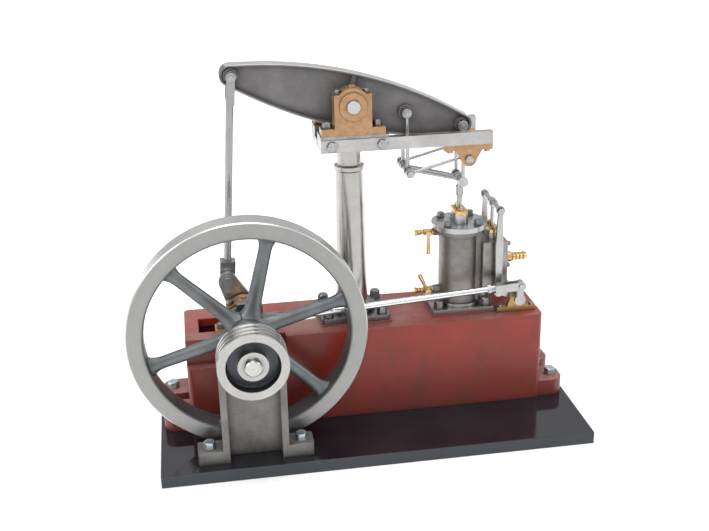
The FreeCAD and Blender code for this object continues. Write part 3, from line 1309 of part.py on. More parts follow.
# ------------------------------------------------------------------ the parallel motion
main_links = [place(hanger(link_length, main_link_y * side, link_thick, link_eye, link_rod,
                           pin_bore, None), right_x, 0, right_z, link_lean) for side in (-1, 1)]
node("main_links", group(*main_links))
back_drop = derive("back_link_length", math.hypot(back_x.value - cross_x.value,
                                                  back_z.value - cross_z.value))
back_lean = derive("back_link_lean", math.degrees(math.atan2(back_x.value - cross_x.value,
                                                             back_z.value - cross_z.value)))
DOC.recompute()
back_links = [place(hanger(back_drop, back_link_y * side, link_thick, link_eye * 0.92, link_rod,
                           pin_bore, None), back_x, 0, back_z, back_lean) for side in (-1, 1)]
node("back_links", group(*back_links))
bar_pieces = []
for side in (-1, 1):
    y = bar_y * side
    half = bar_thick / 2
    whole = fuse(rod("y", 0, y - half, 0, 3.3, bar_thick),
                 rod("y", -spacing, y - half, 0, 3.3, bar_thick),
                 rod("x", -spacing, y, 0, 1.3, spacing))
    bored = cut(whole, rod("y", 0, y - 5, 0, pin_bore, 10), rod("y", -spacing, y - 5, 0, link_pin, 10))
    bar_pieces.append(place(bored, cyl_x, 0, head_z, beam_tilt))
node("parallel_bars", group(*bar_pieces))
cross_end = back_link_y - link_thick / 2 - gap
node("cross_shaft", rod("y", cross_x, -cross_end, cross_z, link_pin, cross_end * 2))
radius_half = radius_rod_thick / 2
radius_rods = []
for side in (-1, 1):
    y = radius_rod_y * side
    inner_stub = back_link_y + link_thick / 2 + gap
    stub_start = -radius_rod_y if side < 0 else inner_stub
    nut_at = -radius_rod_y - radius_half - 1.8 if side < 0 else radius_rod_y + radius_half
    whole = fuse(rod("y", 0, y - radius_half, 0, 3.4, radius_rod_thick),
                 rod("y", -radius_length, y - radius_half, 0, 3.4, radius_rod_thick),
                 rod("x", -radius_length, y, 0, 1.35, radius_length),
                 rod("y", -radius_length, stub_start, 0, 2.6, radius_rod_y - inner_stub),
                 prism("y", -radius_length, nut_at, 0, 4.6, 1.8))
    bored = cut(whole, rod("y", 0, y - 5, 0, pin_bore, 10))
    radius_rods.append(place(bored, cyl_x, 0, bracket_z, -radius_tilt))
node("radius_rods", group(*radius_rods))

# ------------------------------------------------------------- piston, rod and crosshead
ring_lows = (-2.6, 0.8)
ring_high = 1.8
groove_floor = cyl_bore - 0.8
piston_radius = cyl_bore - 0.1
ring_grooves = [(-piston_thick / 2, 0), (-piston_thick / 2, piston_radius)]
for low in ring_lows:
    ring_grooves += [(low, piston_radius), (low, groove_floor), (low + ring_high, groove_floor),
                     (low + ring_high, piston_radius)]
ring_grooves += [(piston_thick / 2, piston_radius), (piston_thick / 2, 0)]
piston_parts = [place(turning("piston_blank", "z", ring_grooves), cyl_x, 0, piston_z)]
for low in ring_lows:
    band = [(low, groove_floor), (low, cyl_bore - running), (low + ring_high, cyl_bore - running),
            (low + ring_high, groove_floor)]
    piston_parts.append(place(turning("ring", "z", band), cyl_x, 0, piston_z))
node("piston", group(*piston_parts))
rod_low = piston_z + piston_thick / 2
rod_high = head_z - 8
node("piston_rod", rod("z", cyl_x, 0, rod_low, piston_rod, rod_high - rod_low))
head_in = bar_y - bar_thick / 2 - gap
main_in = main_link_y - link_thick / 2 - gap
socket_radius = as_size(3.2)
neck_radius = as_size(2.2)
crosshead = fuse(rod("z", cyl_x, 0, rod_high - 5.5, socket_radius, 6.5),
                 cone("z", cyl_x, 0, rod_high + 1, socket_radius, neck_radius, 2.0),
                 rod("z", cyl_x, 0, rod_high + 2, neck_radius, 7),
                 rod("y", cyl_x, -head_in, head_z, 3.6, head_in * 2),
                 rod("y", cyl_x, -main_in, head_z, link_pin, main_in * 2))
node("crosshead", cut(crosshead, rod("z", cyl_x, 0, rod_high - 9, piston_rod, 9)))

# ------------------------------------------------------------------- drain cock levers
for label, z, angle in (("upper_cock_lever", cyl_top - cock_high, 0),
                        ("lower_cock_lever", cyl_floor + cock_low - 6, 155)):
    plug = fuse(rod("y", 0, -3.4, 0, plug_bore, 6.8), rod("y", 0, -6.4, 0, 2.4, 3.2),
                cone("z", 0, -5.0, -16.5, 1.9, 1.0, 14.5))
    lean = cell(f"{label}_angle", angle)
    DOC.recompute()
    node(label, place(plug, cock_end - cock_plug, 0, z, lean))

# ----------------------------------------------------------------------------- finish
DOC.recompute()
faults = []
for thing in DOC.Objects:
    if "Invalid" in thing.State or "Error" in thing.State:
        faults.append(f"{thing.Name} {thing.Label} {thing.State}")
for thing in NODES:
    if thing.Shape.isNull() or not thing.Shape.isValid():
        faults.append(f"{thing.Label} has no valid shape")
if faults:
    raise RuntimeError("\n".join(faults))
os.makedirs("parts", exist_ok=True)
for thing in NODES:
    thing.Shape.exportStep(f"parts/{thing.Label}.step")
print(len(NODES), "nodes written")
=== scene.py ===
import bmesh
import bpy
import json
import math
from mathutils import Matrix, Vector


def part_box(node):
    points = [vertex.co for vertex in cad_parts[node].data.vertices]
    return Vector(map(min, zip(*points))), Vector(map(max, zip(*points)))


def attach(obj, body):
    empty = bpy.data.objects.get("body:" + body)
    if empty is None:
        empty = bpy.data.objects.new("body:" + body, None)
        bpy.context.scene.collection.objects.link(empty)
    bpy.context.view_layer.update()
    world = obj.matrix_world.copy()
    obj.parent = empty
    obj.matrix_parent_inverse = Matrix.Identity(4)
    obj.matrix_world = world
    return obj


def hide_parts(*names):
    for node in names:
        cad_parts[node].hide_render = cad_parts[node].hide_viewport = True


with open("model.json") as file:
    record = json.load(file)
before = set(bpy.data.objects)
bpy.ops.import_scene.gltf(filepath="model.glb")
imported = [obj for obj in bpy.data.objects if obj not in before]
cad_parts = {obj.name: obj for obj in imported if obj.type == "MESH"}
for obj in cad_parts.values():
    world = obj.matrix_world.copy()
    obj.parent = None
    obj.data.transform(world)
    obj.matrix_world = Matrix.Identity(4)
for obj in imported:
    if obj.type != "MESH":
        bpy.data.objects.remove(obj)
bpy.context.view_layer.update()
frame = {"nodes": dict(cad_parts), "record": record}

# ---------------------------------------------------------------- camera and studio
# The engine stands on a plain pale sheet under soft white lights, seen from a little
# above and a little to the left of square on to its flywheel side.

camera_azimuth = math.radians(-8.87)
camera_height = math.radians(21.59)
camera_roll = math.radians(-1.18)
camera_spot = Vector((-0.12581, -0.76844, 0.43349))
back_dir = Vector((math.sin(camera_azimuth) * math.cos(camera_height),
                   -math.cos(camera_azimuth) * math.cos(camera_height),
                   math.sin(camera_height)))
level_right = (-back_dir).cross(Vector((0, 0, 1))).normalized()
level_up = level_right.cross(-back_dir)
tilted_right = level_right * math.cos(camera_roll) + level_up * math.sin(camera_roll)
tilted_up = level_up * math.cos(camera_roll) - level_right * math.sin(camera_roll)
camera = bpy.data.objects.new("camera", bpy.data.cameras.new("camera"))
camera.data.lens = 53.6
camera.data.sensor_width = 36.0
camera.data.clip_end = 20.0
camera.matrix_world = Matrix((
    (tilted_right.x, tilted_up.x, back_dir.x, camera_spot.x),
    (tilted_right.y, tilted_up.y, back_dir.y, camera_spot.y),
    (tilted_right.z, tilted_up.z, back_dir.z, camera_spot.z),
    (0, 0, 0, 1)))
bpy.context.scene.collection.objects.link(camera)
bpy.context.scene.camera = camera
bpy.context.scene.view_settings.view_transform = "Standard"
bpy.context.scene.view_settings.look = "None"

world = bpy.data.worlds.new("studio")
bpy.context.scene.world = world
world.use_nodes = True
sky = world.node_tree.nodes
sky_links = world.node_tree.links
sky_place = sky.new("ShaderNodeTexCoord")
sky_split = sky.new("ShaderNodeSeparateXYZ")
sky_ramp = sky.new("ShaderNodeValToRGB")
sky_ramp.color_ramp.elements[0].position = 0.42
sky_ramp.color_ramp.elements[0].color = (0.30, 0.31, 0.33, 1)
sky_ramp.color_ramp.elements[1].position = 0.8
sky_ramp.color_ramp.elements[1].color = (1.0, 1.0, 1.0, 1)
sky_noise = sky.new("ShaderNodeTexNoise")
sky_noise.inputs["Scale"].default_value = 2.3
sky_noise.inputs["Detail"].default_value = 1.0
sky_links.new(sky_place.outputs["Generated"], sky_split.inputs[0])
sky_links.new(sky_place.outputs["Generated"], sky_noise.inputs["Vector"])


def sky_range(value, low, high, first, second):
    """Map one of the sky's values from low and high to first and second."""
    node = sky.new("ShaderNodeMapRange")
    node.inputs["From Min"].default_value = low
    node.inputs["From Max"].default_value = high
    node.inputs["To Min"].default_value = first
    node.inputs["To Max"].default_value = second
    sky_links.new(value, node.inputs["Value"])
    return node


sky_links.new(sky_range(sky_split.outputs["Z"], -1.0, 1.0, 0.0, 1.0).outputs[0], sky_ramp.inputs[0])
overhead = sky_range(sky_split.outputs["Z"], 0.1, 0.5, 0.12, 0.9)
behind = sky_range(sky_split.outputs["Y"], 0.2, 0.8, 0.0, 0.8)
darkest = sky.new("ShaderNodeMath")
darkest.operation = "MAXIMUM"
sky_links.new(overhead.outputs[0], darkest.inputs[0])
sky_links.new(behind.outputs[0], darkest.inputs[1])
patches = sky_range(sky_noise.outputs["Fac"], 0.42, 0.58, 0.0, 1.25)
sky_links.new(darkest.outputs[0], patches.inputs["To Min"])
sky_dim = sky.new("ShaderNodeVectorMath")
sky_dim.operation = "SCALE"
sky_links.new(sky_ramp.outputs[0], sky_dim.inputs[0])
sky_links.new(patches.outputs[0], sky_dim.inputs["Scale"])
sky_links.new(sky_dim.outputs[0], sky["Background"].inputs["Color"])
sky["Background"].inputs["Strength"].default_value = 0.8


def softbox(name, spot, target, wide, tall, power):
    """A square lamp that faces one point."""
    lamp = bpy.data.lights.new(name, "AREA")
    lamp.shape = "RECTANGLE"
    lamp.size = wide
    lamp.size_y = tall
    lamp.energy = power
    thing = bpy.data.objects.new(name, lamp)
    bpy.context.scene.collection.objects.link(thing)
    thing.location = spot
    aim = Vector(target) - Vector(spot)
    thing.rotation_euler = aim.to_track_quat("-Z", "Y").to_euler()


middle = (0.0, 0.0, 0.12)
softbox("top_softbox", (-0.15, -0.1, 1.5), middle, 1.2, 0.9, 13)
softbox("left_softbox", (-1.3, -0.7, 0.8), middle, 0.8, 0.9, 7)
softbox("right_softbox", (1.3, -0.8, 0.7), middle, 0.5, 0.9, 4)
softbox("front_softbox", (-0.3, -1.9, 1.1), middle, 1.0, 0.5, 5)


def glowing_paper(name, colour, rough, near, far):
    """A matt sheet with painted light: it glows more with its distance behind the engine."""
    paper = bpy.data.materials.new(name)
    paper.use_nodes = True
    nodes = paper.node_tree.nodes
    shader = nodes["Principled BSDF"]
    shader.inputs["Base Color"].default_value = colour
    shader.inputs["Roughness"].default_value = rough
    shader.inputs["Emission Color"].default_value = (1, 1, 1, 1)
    split = nodes.new("ShaderNodeSeparateXYZ")
    glow = nodes.new("ShaderNodeMapRange")
    glow.inputs["From Min"].default_value = -0.25
    glow.inputs["From Max"].default_value = 0.35
    glow.inputs["To Min"].default_value = near
    glow.inputs["To Max"].default_value = far
    link = paper.node_tree.links.new
    link(nodes.new("ShaderNodeTexCoord").outputs["Object"], split.inputs[0])
    link(split.outputs["Y"], glow.inputs["Value"])
    # painted light: the sheet glows, more the further it lies behind the engine
    link(glow.outputs[0], shader.inputs["Emission Strength"])
    return paper


bm = bmesh.new()
bmesh.ops.create_grid(bm, x_segments=1, y_segments=1, size=6.0)
floor = bpy.data.objects.new("floor", bpy.data.meshes.new("floor"))
bm.to_mesh(floor.data)
bm.free()
floor.data.materials.append(glowing_paper("white_paper", (0.84, 0.84, 0.84, 1), 0.7, 0.02, 0.55))
bpy.context.scene.collection.objects.link(floor)

# -------------------------------------------------------------------------- board
# A thick slab of glossy black plastic, sawn to size and polished on top, with its
# sawn edges left duller and greyer.  It shows dust and fine scratches.

joint_at = {joint["name"]: Vector(joint["pos_m"]) for joint in frame["record"]["behaviour"]["joints"]
            if "pos_m" in joint}
shaft_at = joint_at["crank_turn"]
pivot_at = joint_at["beam_rock"]


def start_finish(name):
    """A new finish with its shader and its place on the piece."""
    finish = bpy.data.materials.new(name)
    finish.use_nodes = True
    tree = finish.node_tree
    shader = tree.nodes["Principled BSDF"]
    place = tree.nodes.new("ShaderNodeTexCoord").outputs["Object"]
    return finish, tree, shader, place


def speckle(tree, place, size, detail=4.0, rough=0.55, stretch=None):
    """Random mottling; size is the width of one blotch in metres."""
    source = place
    if stretch:
        mapping = tree.nodes.new("ShaderNodeMapping")
        mapping.inputs["Scale"].default_value = stretch
        tree.links.new(place, mapping.inputs["Vector"])
        source = mapping.outputs["Vector"]
    noise = tree.nodes.new("ShaderNodeTexNoise")
    noise.inputs["Scale"].default_value = 1.0 / size
    noise.inputs["Detail"].default_value = detail
    noise.inputs["Roughness"].default_value = rough
    tree.links.new(source, noise.inputs["Vector"])
    return noise.outputs["Fac"]


def between(tree, value, low, high, first, second):
    """Turn one range of a pattern into another."""
    scale = tree.nodes.new("ShaderNodeMapRange")
    scale.inputs["From Min"].default_value = low
    scale.inputs["From Max"].default_value = high
    scale.inputs["To Min"].default_value = first
    scale.inputs["To Max"].default_value = second
    tree.links.new(value, scale.inputs["Value"])
    return scale.outputs["Result"]


def blend_colour(tree, share, first, second):
    """One colour turning to another; either may be a pattern."""
    mix = tree.nodes.new("ShaderNodeMix")
    mix.data_type = "RGBA"
    tree.links.new(share, mix.inputs["Factor"])
    for socket, colour in ((mix.inputs["A"], first), (mix.inputs["B"], second)):
        if isinstance(colour, tuple):
            socket.default_value = (*colour, 1)
        else:
            tree.links.new(colour, socket)
    return mix.outputs["Result"]


def reckon(tree, operation, first, second):
    """One sum on two patterns or numbers."""
    node = tree.nodes.new("ShaderNodeMath")
    node.operation = operation
    for socket, value in ((node.inputs[0], first), (node.inputs[1], second)):
        if isinstance(value, (int, float)):
            socket.default_value = value
        else:
            tree.links.new(value, socket)
    return node.outputs[0]


def relief(tree, shader, height, depth, strength=1.0, edge=0.0003):
    """Raise the pattern by a depth in metres, over edges that are slightly rounded."""
    bump = tree.nodes.new("ShaderNodeBump")
    bump.inputs["Strength"].default_value = strength
    bump.inputs["Distance"].default_value = depth
    tree.links.new(height, bump.inputs["Height"])
    if edge:
        rounded = tree.nodes.new("ShaderNodeBevel")
        rounded.samples = 4
        rounded.inputs["Radius"].default_value = edge
        tree.links.new(rounded.outputs["Normal"], bump.inputs["Normal"])
    tree.links.new(bump.outputs["Normal"], shader.inputs["Normal"])


def painted_corner_shade(tree, colour, reach, least):
    """The colour with painted shade: darker in corners and under edges, by ambient occlusion."""
    shade = tree.nodes.new("ShaderNodeAmbientOcclusion")
    shade.samples = 6
    shade.inputs["Distance"].default_value = reach
    return blend_colour(tree, between(tree, shade.outputs["AO"], 0.35, 0.95, 1.0 - least, 0.0),
                        colour, (0.018, 0.014, 0.011))


def facing_up(tree):
    """How far a face looks up, from 0 to 1."""
    geometry = tree.nodes.new("ShaderNodeNewGeometry")
    split = tree.nodes.new("ShaderNodeSeparateXYZ")
    tree.links.new(geometry.outputs["Normal"], split.inputs[0])
    return between(tree, split.outputs["Z"], 0.35, 0.9, 0.0, 1.0)


def black_plastic():
    finish, tree, shader, place = start_finish("black_board")
    up = facing_up(tree)
    dust = between(tree, speckle(tree, place, 0.0011, 2.0), 0.735, 0.77, 0.0, 1.0)
    dust = reckon(tree, "MULTIPLY", dust, between(tree, speckle(tree, place, 0.06), 0.45, 0.7, 0.0, 1.0))
    haze = between(tree, speckle(tree, place, 0.05, 6.0), 0.35, 0.75, 0.0, 1.0)
    top = blend_colour(tree, haze, (0.008, 0.008, 0.012), (0.017, 0.017, 0.022))
    top = blend_colour(tree, dust, top, (0.32, 0.31, 0.29))
    saw = speckle(tree, place, 0.0016, 3.0, 0.6, (0.15, 0.15, 2.0))
    side = blend_colour(tree, saw, (0.016, 0.021, 0.026), (0.034, 0.042, 0.05))
    tree.links.new(blend_colour(tree, up, side, top), shader.inputs["Base Color"])
    gloss = between(tree, haze, 0.0, 1.0, 0.06, 0.15)
    gloss = reckon(tree, "ADD", gloss, reckon(tree, "MULTIPLY", dust, 0.5))
    dull = between(tree, up, 0.0, 1.0, 0.33, 0.0)
    tree.links.new(reckon(tree, "ADD", gloss, dull), shader.inputs["Roughness"])
    shader.inputs["IOR"].default_value = 1.49
    relief(tree, shader, speckle(tree, place, 0.012, 5.0), 0.00012, 0.35, 0.0006)
    return finish


def leader(parent, item):
    """The item that stands for a group."""
    while parent[item] != item:
        parent[item] = parent[parent[item]]
        item = parent[item]
    return item


def flat_areas(bm, same=0.002):
    """The whole area of the flat face that each triangle is a part of."""
    parent = list(range(len(bm.faces)))
    for edge in bm.edges:
        if len(edge.link_faces) == 2 and edge.calc_face_angle() < same:
            one, two = (leader(parent, face.index) for face in edge.link_faces)
            parent[one] = two
    whole = {}
    for face in bm.faces:
        key = leader(parent, face.index)
        whole[key] = whole.get(key, 0.0) + face.calc_area()
    return [whole[leader(parent, face.index)] for face in bm.faces]


def soft_normals(bm, crease):
    """A normal for each corner, led by the widest flat face that it is smooth with."""
    bm.faces.index_update()
    area = flat_areas(bm)
    normals = {}
    for vert in bm.verts:
        parent = {face.index: face.index for face in vert.link_faces}
        for edge in vert.link_edges:
            if len(edge.link_faces) == 2 and edge.calc_face_angle() < crease:
                one, two = (leader(parent, face.index) for face in edge.link_faces)
                parent[one] = two
        sums = {}
        for face in vert.link_faces:
            key = leader(parent, face.index)
            sums[key] = sums.get(key, Vector((0, 0, 0))) + face.normal * area[face.index]
        for face in vert.link_faces:
            normals[(face.index, vert.index)] = sums[leader(parent, face.index)].normalized()
    return [normals[(face.index, loop.vert.index)] for face in bm.faces for loop in face.loops]


def smooth_copy(node, crease=32):
    """A joined-up copy of a node's skin, smooth on its curves and crisp on its corners."""
    source = frame["nodes"][node]
    bm = bmesh.new()
    bm.from_mesh(source.data)
    bmesh.ops.remove_doubles(bm, verts=bm.verts, dist=0.000002)
    bm.verts.index_update()
    normals = soft_normals(bm, math.radians(crease))
    skin = bpy.data.meshes.new(f"{node}_skin")
    bm.to_mesh(skin)
    bm.free()
    skin.shade_smooth()
    skin.normals_split_custom_set(normals)
    thing = bpy.data.objects.new(f"{node}_skin", skin)
    bpy.context.scene.collection.objects.link(thing)
    return thing


body_of = {node: body for body, nodes in frame["record"]["behaviour"]["bodies"].items()
           for node in nodes}


def finish_node(node, finish, crease=32):
    """Show a node by its smooth copy, in its finish, on its own body."""
    thing = smooth_copy(node, crease)
    thing.data.materials.clear()
    thing.data.materials.append(finish)
    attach(thing, body_of[node])
    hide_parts(node)
    return thing


board = finish_node("base_board", black_plastic())
board_edge = board.modifiers.new("broken_edge", "BEVEL")
board_edge.width = 0.0007
board_edge.segments = 2

# ----------------------------------------------------------------------------- bed
# A hollow iron casting in brick red paint, rubbed and oily in places, with paler
# handling marks on its top.  Four lugs take the bolts that hold it to the board.


def red_paint():
    finish, tree, shader, place = start_finish("brick_red_paint")
    up = facing_up(tree)
    broad = speckle(tree, place, 0.055, 5.0, 0.6)
    fine = speckle(tree, place, 0.006, 5.0, 0.65)
    colour = blend_colour(tree, between(tree, broad, 0.35, 0.68, 0.0, 1.0),
                          (0.275, 0.026, 0.015), (0.19, 0.027, 0.019))
    grime = between(tree, speckle(tree, place, 0.03, 8.0, 0.7, (1.0, 1.0, 0.45)), 0.55, 0.78, 0.0, 0.75)
    colour = blend_colour(tree, grime, colour, (0.065, 0.035, 0.028))
    low_split = tree.nodes.new("ShaderNodeSeparateXYZ")
    tree.links.new(place, low_split.inputs[0])
    low = between(tree, low_split.outputs["Z"], 0.012, 0.06, 0.55, 0.0)
    low = reckon(tree, "MULTIPLY", low, between(tree, fine, 0.35, 0.65, 0.35, 1.0))
    colour = blend_colour(tree, low, colour, (0.105, 0.045, 0.036))
    dust = reckon(tree, "MULTIPLY", up, between(tree, broad, 0.4, 0.62, 0.1, 0.62))
    colour = blend_colour(tree, dust, colour, (0.34, 0.19, 0.165))
    # painted shade: the paint is darkened in corners and under edges
    tree.links.new(painted_corner_shade(tree, colour, 0.008, 0.45), shader.inputs["Base Color"])
    tree.links.new(between(tree, fine, 0.3, 0.7, 0.30, 0.5), shader.inputs["Roughness"])
    shader.inputs["Coat Weight"].default_value = 0.12
    shader.inputs["Coat Roughness"].default_value = 0.25
    rough = reckon(tree, "ADD", speckle(tree, place, 0.0022, 3.0), reckon(tree, "MULTIPLY", broad, 3.0))
    relief(tree, shader, rough, 0.00022, 0.45, 0.0016)
    return finish


finish_node("engine_bed", red_paint())

# ----------------------------------------------------- bolts that hold the engine down
# Zinc plated hexagon bolts on washers, bluish white, with a dull frosted plating.


def metal(name, light, dark, rough, blotch=0.004, grain=None, depth=0.00003, edge=0.00025,
          spread=0.12, scratch=0.0):
    """Bare metal: two tones in blotches, a fine tool grain and slightly broken edges."""
    finish, tree, shader, place = start_finish(name)
    tone = between(tree, speckle(tree, place, blotch, 6.0, 0.65), 0.3, 0.7, 0.0, 1.0)
    fine = speckle(tree, place, 0.0007, 4.0, 0.6, grain)
    mixed = reckon(tree, "ADD", reckon(tree, "MULTIPLY", tone, 0.65),
                   reckon(tree, "MULTIPLY", fine, 0.35))
    # painted shade: the metal is darkened in corners and under edges
    colour = painted_corner_shade(tree, blend_colour(tree, mixed, dark, light), 0.002, 0.5)
    tree.links.new(colour, shader.inputs["Base Color"])
    shader.inputs["Metallic"].default_value = 1.0
    gloss = between(tree, mixed, 0.2, 0.8, rough + spread, max(rough - spread, 0.04))
    if scratch:
        marks = speckle(tree, place, 0.0018, 2.0, 0.5, (0.05, 1.0, 1.0))
        gloss = reckon(tree, "ADD", gloss, between(tree, marks, 0.62, 0.7, 0.0, scratch))
    tree.links.new(gloss, shader.inputs["Roughness"])
    relief(tree, shader, fine, depth, 0.6, edge)
    return finish


zinc = metal("zinc_plate", (0.62, 0.70, 0.74), (0.36, 0.42, 0.46), 0.34, 0.0025)
finish_node("hold_down_bolts", zinc)

# ----------------------------------------------------------------------- outer stand
# A rough iron casting left bare, brownish grey, with a machined top for the bearing.


def bare_casting(name, light, dark, shine, grit=0.0009, depth=0.0003, brown=0.0):
    """As-cast iron: matt, grainy and a little rusty in places, with painted shade in its hollows."""
    finish, tree, shader, place = start_finish(name)
    broad = speckle(tree, place, 0.018, 6.0, 0.65)
    fine = speckle(tree, place, grit, 5.0, 0.7)
    tone = reckon(tree, "ADD", reckon(tree, "MULTIPLY", broad, 0.6), reckon(tree, "MULTIPLY", fine, 0.4))
    colour = blend_colour(tree, between(tree, tone, 0.35, 0.65, 0.0, 1.0), dark, light)
    if brown:
        rust = between(tree, speckle(tree, place, 0.008, 7.0, 0.7), 0.5, 0.72, 0.0, brown)
        colour = blend_colour(tree, rust, colour, (0.13, 0.075, 0.045))
    # painted shade: the iron is darkened in corners and under edges
    tree.links.new(painted_corner_shade(tree, colour, 0.006, 0.45), shader.inputs["Base Color"])
    shader.inputs["Metallic"].default_value = 0.75
    tree.links.new(between(tree, fine, 0.3, 0.7, shine - 0.08, shine + 0.12), shader.inputs["Roughness"])
    relief(tree, shader, fine, depth, 0.7, 0.0007)
    return finish


stand_iron = bare_casting("stand_iron", (0.29, 0.285, 0.275), (0.15, 0.145, 0.135), 0.5, brown=0.3)
finish_node("outer_stand", stand_iron)

# ------------------------------------------------------------------- crankshaft bearings
# Split brass blocks, filed on the sides and bored for the shaft, with steel nuts.

brass = metal("bearing_brass", (0.66, 0.45, 0.22), (0.38, 0.235, 0.105), 0.38, 0.006, depth=0.00006)
for node in ("front_bearing", "outer_bearing"):
    finish_node(node, brass)
bronze = metal("cast_bronze", (0.62, 0.39, 0.215), (0.37, 0.22, 0.12), 0.42, 0.005, depth=0.00006)
finish_node("bearing_caps", bronze)
dark_steel = metal("blued_steel", (0.36, 0.36, 0.37), (0.17, 0.17, 0.175), 0.32, 0.003)
finish_node("bearing_nuts", dark_steel)

# -------------------------------------------------------------------- column and its foot
# A turned and polished steel column, tapered, with a collar near its top.  It stands
# in a round flange on a square plate that is bolted to the bed.


def round_axis(tree, place, centre, axis):
    """Each point's distance from an axis and its place along it."""
    shift = tree.nodes.new("ShaderNodeVectorMath")
    shift.operation = "SUBTRACT"
    shift.inputs[1].default_value = centre
    tree.links.new(place, shift.inputs[0])
    flat = tree.nodes.new("ShaderNodeVectorMath")
    flat.operation = "MULTIPLY"
    flat.inputs[1].default_value = [0.0 if axis == letter else 1.0 for letter in "xyz"]
    tree.links.new(shift.outputs[0], flat.inputs[0])
    length = tree.nodes.new("ShaderNodeVectorMath")
    length.operation = "LENGTH"
    tree.links.new(flat.outputs[0], length.inputs[0])
    split = tree.nodes.new("ShaderNodeSeparateXYZ")
    tree.links.new(shift.outputs[0], split.inputs[0])
    return length.outputs["Value"], split.outputs["xyz".index(axis)]


def turned_metal(name, centre, axis, light, dark, rough, ring=0.0005, depth=0.00002, spread=0.1,
                 edge=0.0003):
    """Metal off the lathe: fine rings about one axis, brighter and duller by turns."""
    finish, tree, shader, place = start_finish(name)
    radius, along = round_axis(tree, place, centre, axis)
    joined = tree.nodes.new("ShaderNodeCombineXYZ")
    tree.links.new(radius, joined.inputs["X"])
    tree.links.new(along, joined.inputs["Y"])
    rings = speckle(tree, joined.outputs[0], ring, 3.0, 0.6)
    broad = speckle(tree, place, 0.012, 5.0, 0.6)
    tone = reckon(tree, "ADD", reckon(tree, "MULTIPLY", rings, 0.7), reckon(tree, "MULTIPLY", broad, 0.3))
    colour = blend_colour(tree, between(tree, tone, 0.35, 0.65, 0.0, 1.0), dark, light)
    # painted shade: the turned metal is darkened in corners and under edges
    tree.links.new(painted_corner_shade(tree, colour, 0.004, 0.35), shader.inputs["Base Color"])
    shader.inputs["Metallic"].default_value = 1.0
    tree.links.new(between(tree, tone, 0.35, 0.65, rough + spread, max(rough - spread, 0.05)),
                   shader.inputs["Roughness"])
    relief(tree, shader, rings, depth, 0.6, edge)
    return finish


def recessed(finish, centre, axis, inner, outer, front, colour, shine, strength=1.0):
    """Darken what lies between two radii and behind the face of a turned piece."""
    tree = finish.node_tree
    shader = tree.nodes["Principled BSDF"]
    place = tree.nodes.new("ShaderNodeTexCoord").outputs["Object"]
    radius, along = round_axis(tree, place, centre, axis)
    soft = 0.0004
    mask = between(tree, radius, inner - soft, inner + soft, 0.0, 1.0)
    mask = reckon(tree, "MULTIPLY", mask, between(tree, radius, outer - soft, outer + soft, 1.0, 0.0))
    mask = reckon(tree, "MULTIPLY", mask, between(tree, along, front, front + soft, 0.0, 1.0))
    mask = reckon(tree, "MULTIPLY", mask, strength)
    base = shader.inputs["Base Color"].links[0].from_socket
    gloss = shader.inputs["Roughness"].links[0].from_socket
    tree.links.new(blend_colour(tree, mask, base, colour), shader.inputs["Base Color"])
    blend = reckon(tree, "ADD", reckon(tree, "MULTIPLY", gloss, reckon(tree, "SUBTRACT", 1.0, mask)),
                   reckon(tree, "MULTIPLY", mask, shine))
    tree.links.new(blend, shader.inputs["Roughness"])
    return finish


column_low, column_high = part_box("column")
column_axis = Vector(((column_low[0] + column_high[0]) / 2, 0.0, 0.0))
column_steel = turned_metal("turned_column", column_axis, "z", (0.50, 0.49, 0.475), (0.42, 0.41, 0.395),
                            0.24, 0.0004, 0.000006, 0.03)
finish_node("column", column_steel)
finish_node("column_foot", metal("foot_steel", (0.34, 0.35, 0.36), (0.16, 0.165, 0.17), 0.30, 0.01))
finish_node("column_bolts", dark_steel)

# ---------------------------------------------------------------------------- entablature
# Two bright steel rails bolted to a block that sits on the column, under a top plate
# with a slot for the beam.

rail_steel = metal("brushed_rail", (0.58, 0.57, 0.56), (0.45, 0.44, 0.425), 0.30, 0.03,
                   (0.04, 1.0, 1.0), scratch=0.2)
for node in ("front_rail", "back_rail"):
    finish_node(node, rail_steel)
plate_steel = metal("plate_steel", (0.50, 0.50, 0.49), (0.26, 0.26, 0.265), 0.3, 0.01)
finish_node("entablature", plate_steel)
finish_node("rail_bolts", metal("bolt_steel", (0.55, 0.55, 0.55), (0.30, 0.30, 0.31), 0.26, 0.003))
for node in ("trunnions", "front_radius_bracket", "back_radius_bracket"):
    finish_node(node, bronze)

# --------------------------------------------------------------------------- cylinder
# A steel barrel with a flange at its top, a bolted cover and a stuffing box, on a
# square base plate.  The barrel is browned by heat and oil.

cylinder_low, cylinder_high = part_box("cylinder_cover")
cylinder_axis = Vector(((cylinder_low[0] + cylinder_high[0]) / 2, 0.0, 0.0))
barrel_iron = bare_casting("barrel_iron", (0.30, 0.29, 0.28), (0.18, 0.17, 0.16), 0.36, 0.0008, 0.00006,
                           brown=0.35)
finish_node("cylinder", barrel_iron)
cover_steel = turned_metal("cover_steel", cylinder_axis, "z", (0.56, 0.565, 0.57),
                           (0.42, 0.425, 0.43), 0.3, 0.0005, 0.000015)
finish_node("cylinder_cover", cover_steel)
finish_node("cylinder_base", cover_steel)
finish_node("cylinder_bolts", dark_steel)
gland_brass = metal("gland_brass", (0.82, 0.58, 0.29), (0.55, 0.36, 0.16), 0.28, 0.004)
finish_node("glands", gland_brass)

# --------------------------------------------------------------------- valve chest and gear
# A machined iron box with a bolted cover, its spindle worked by two polished links
# from a rocker on brass brackets.

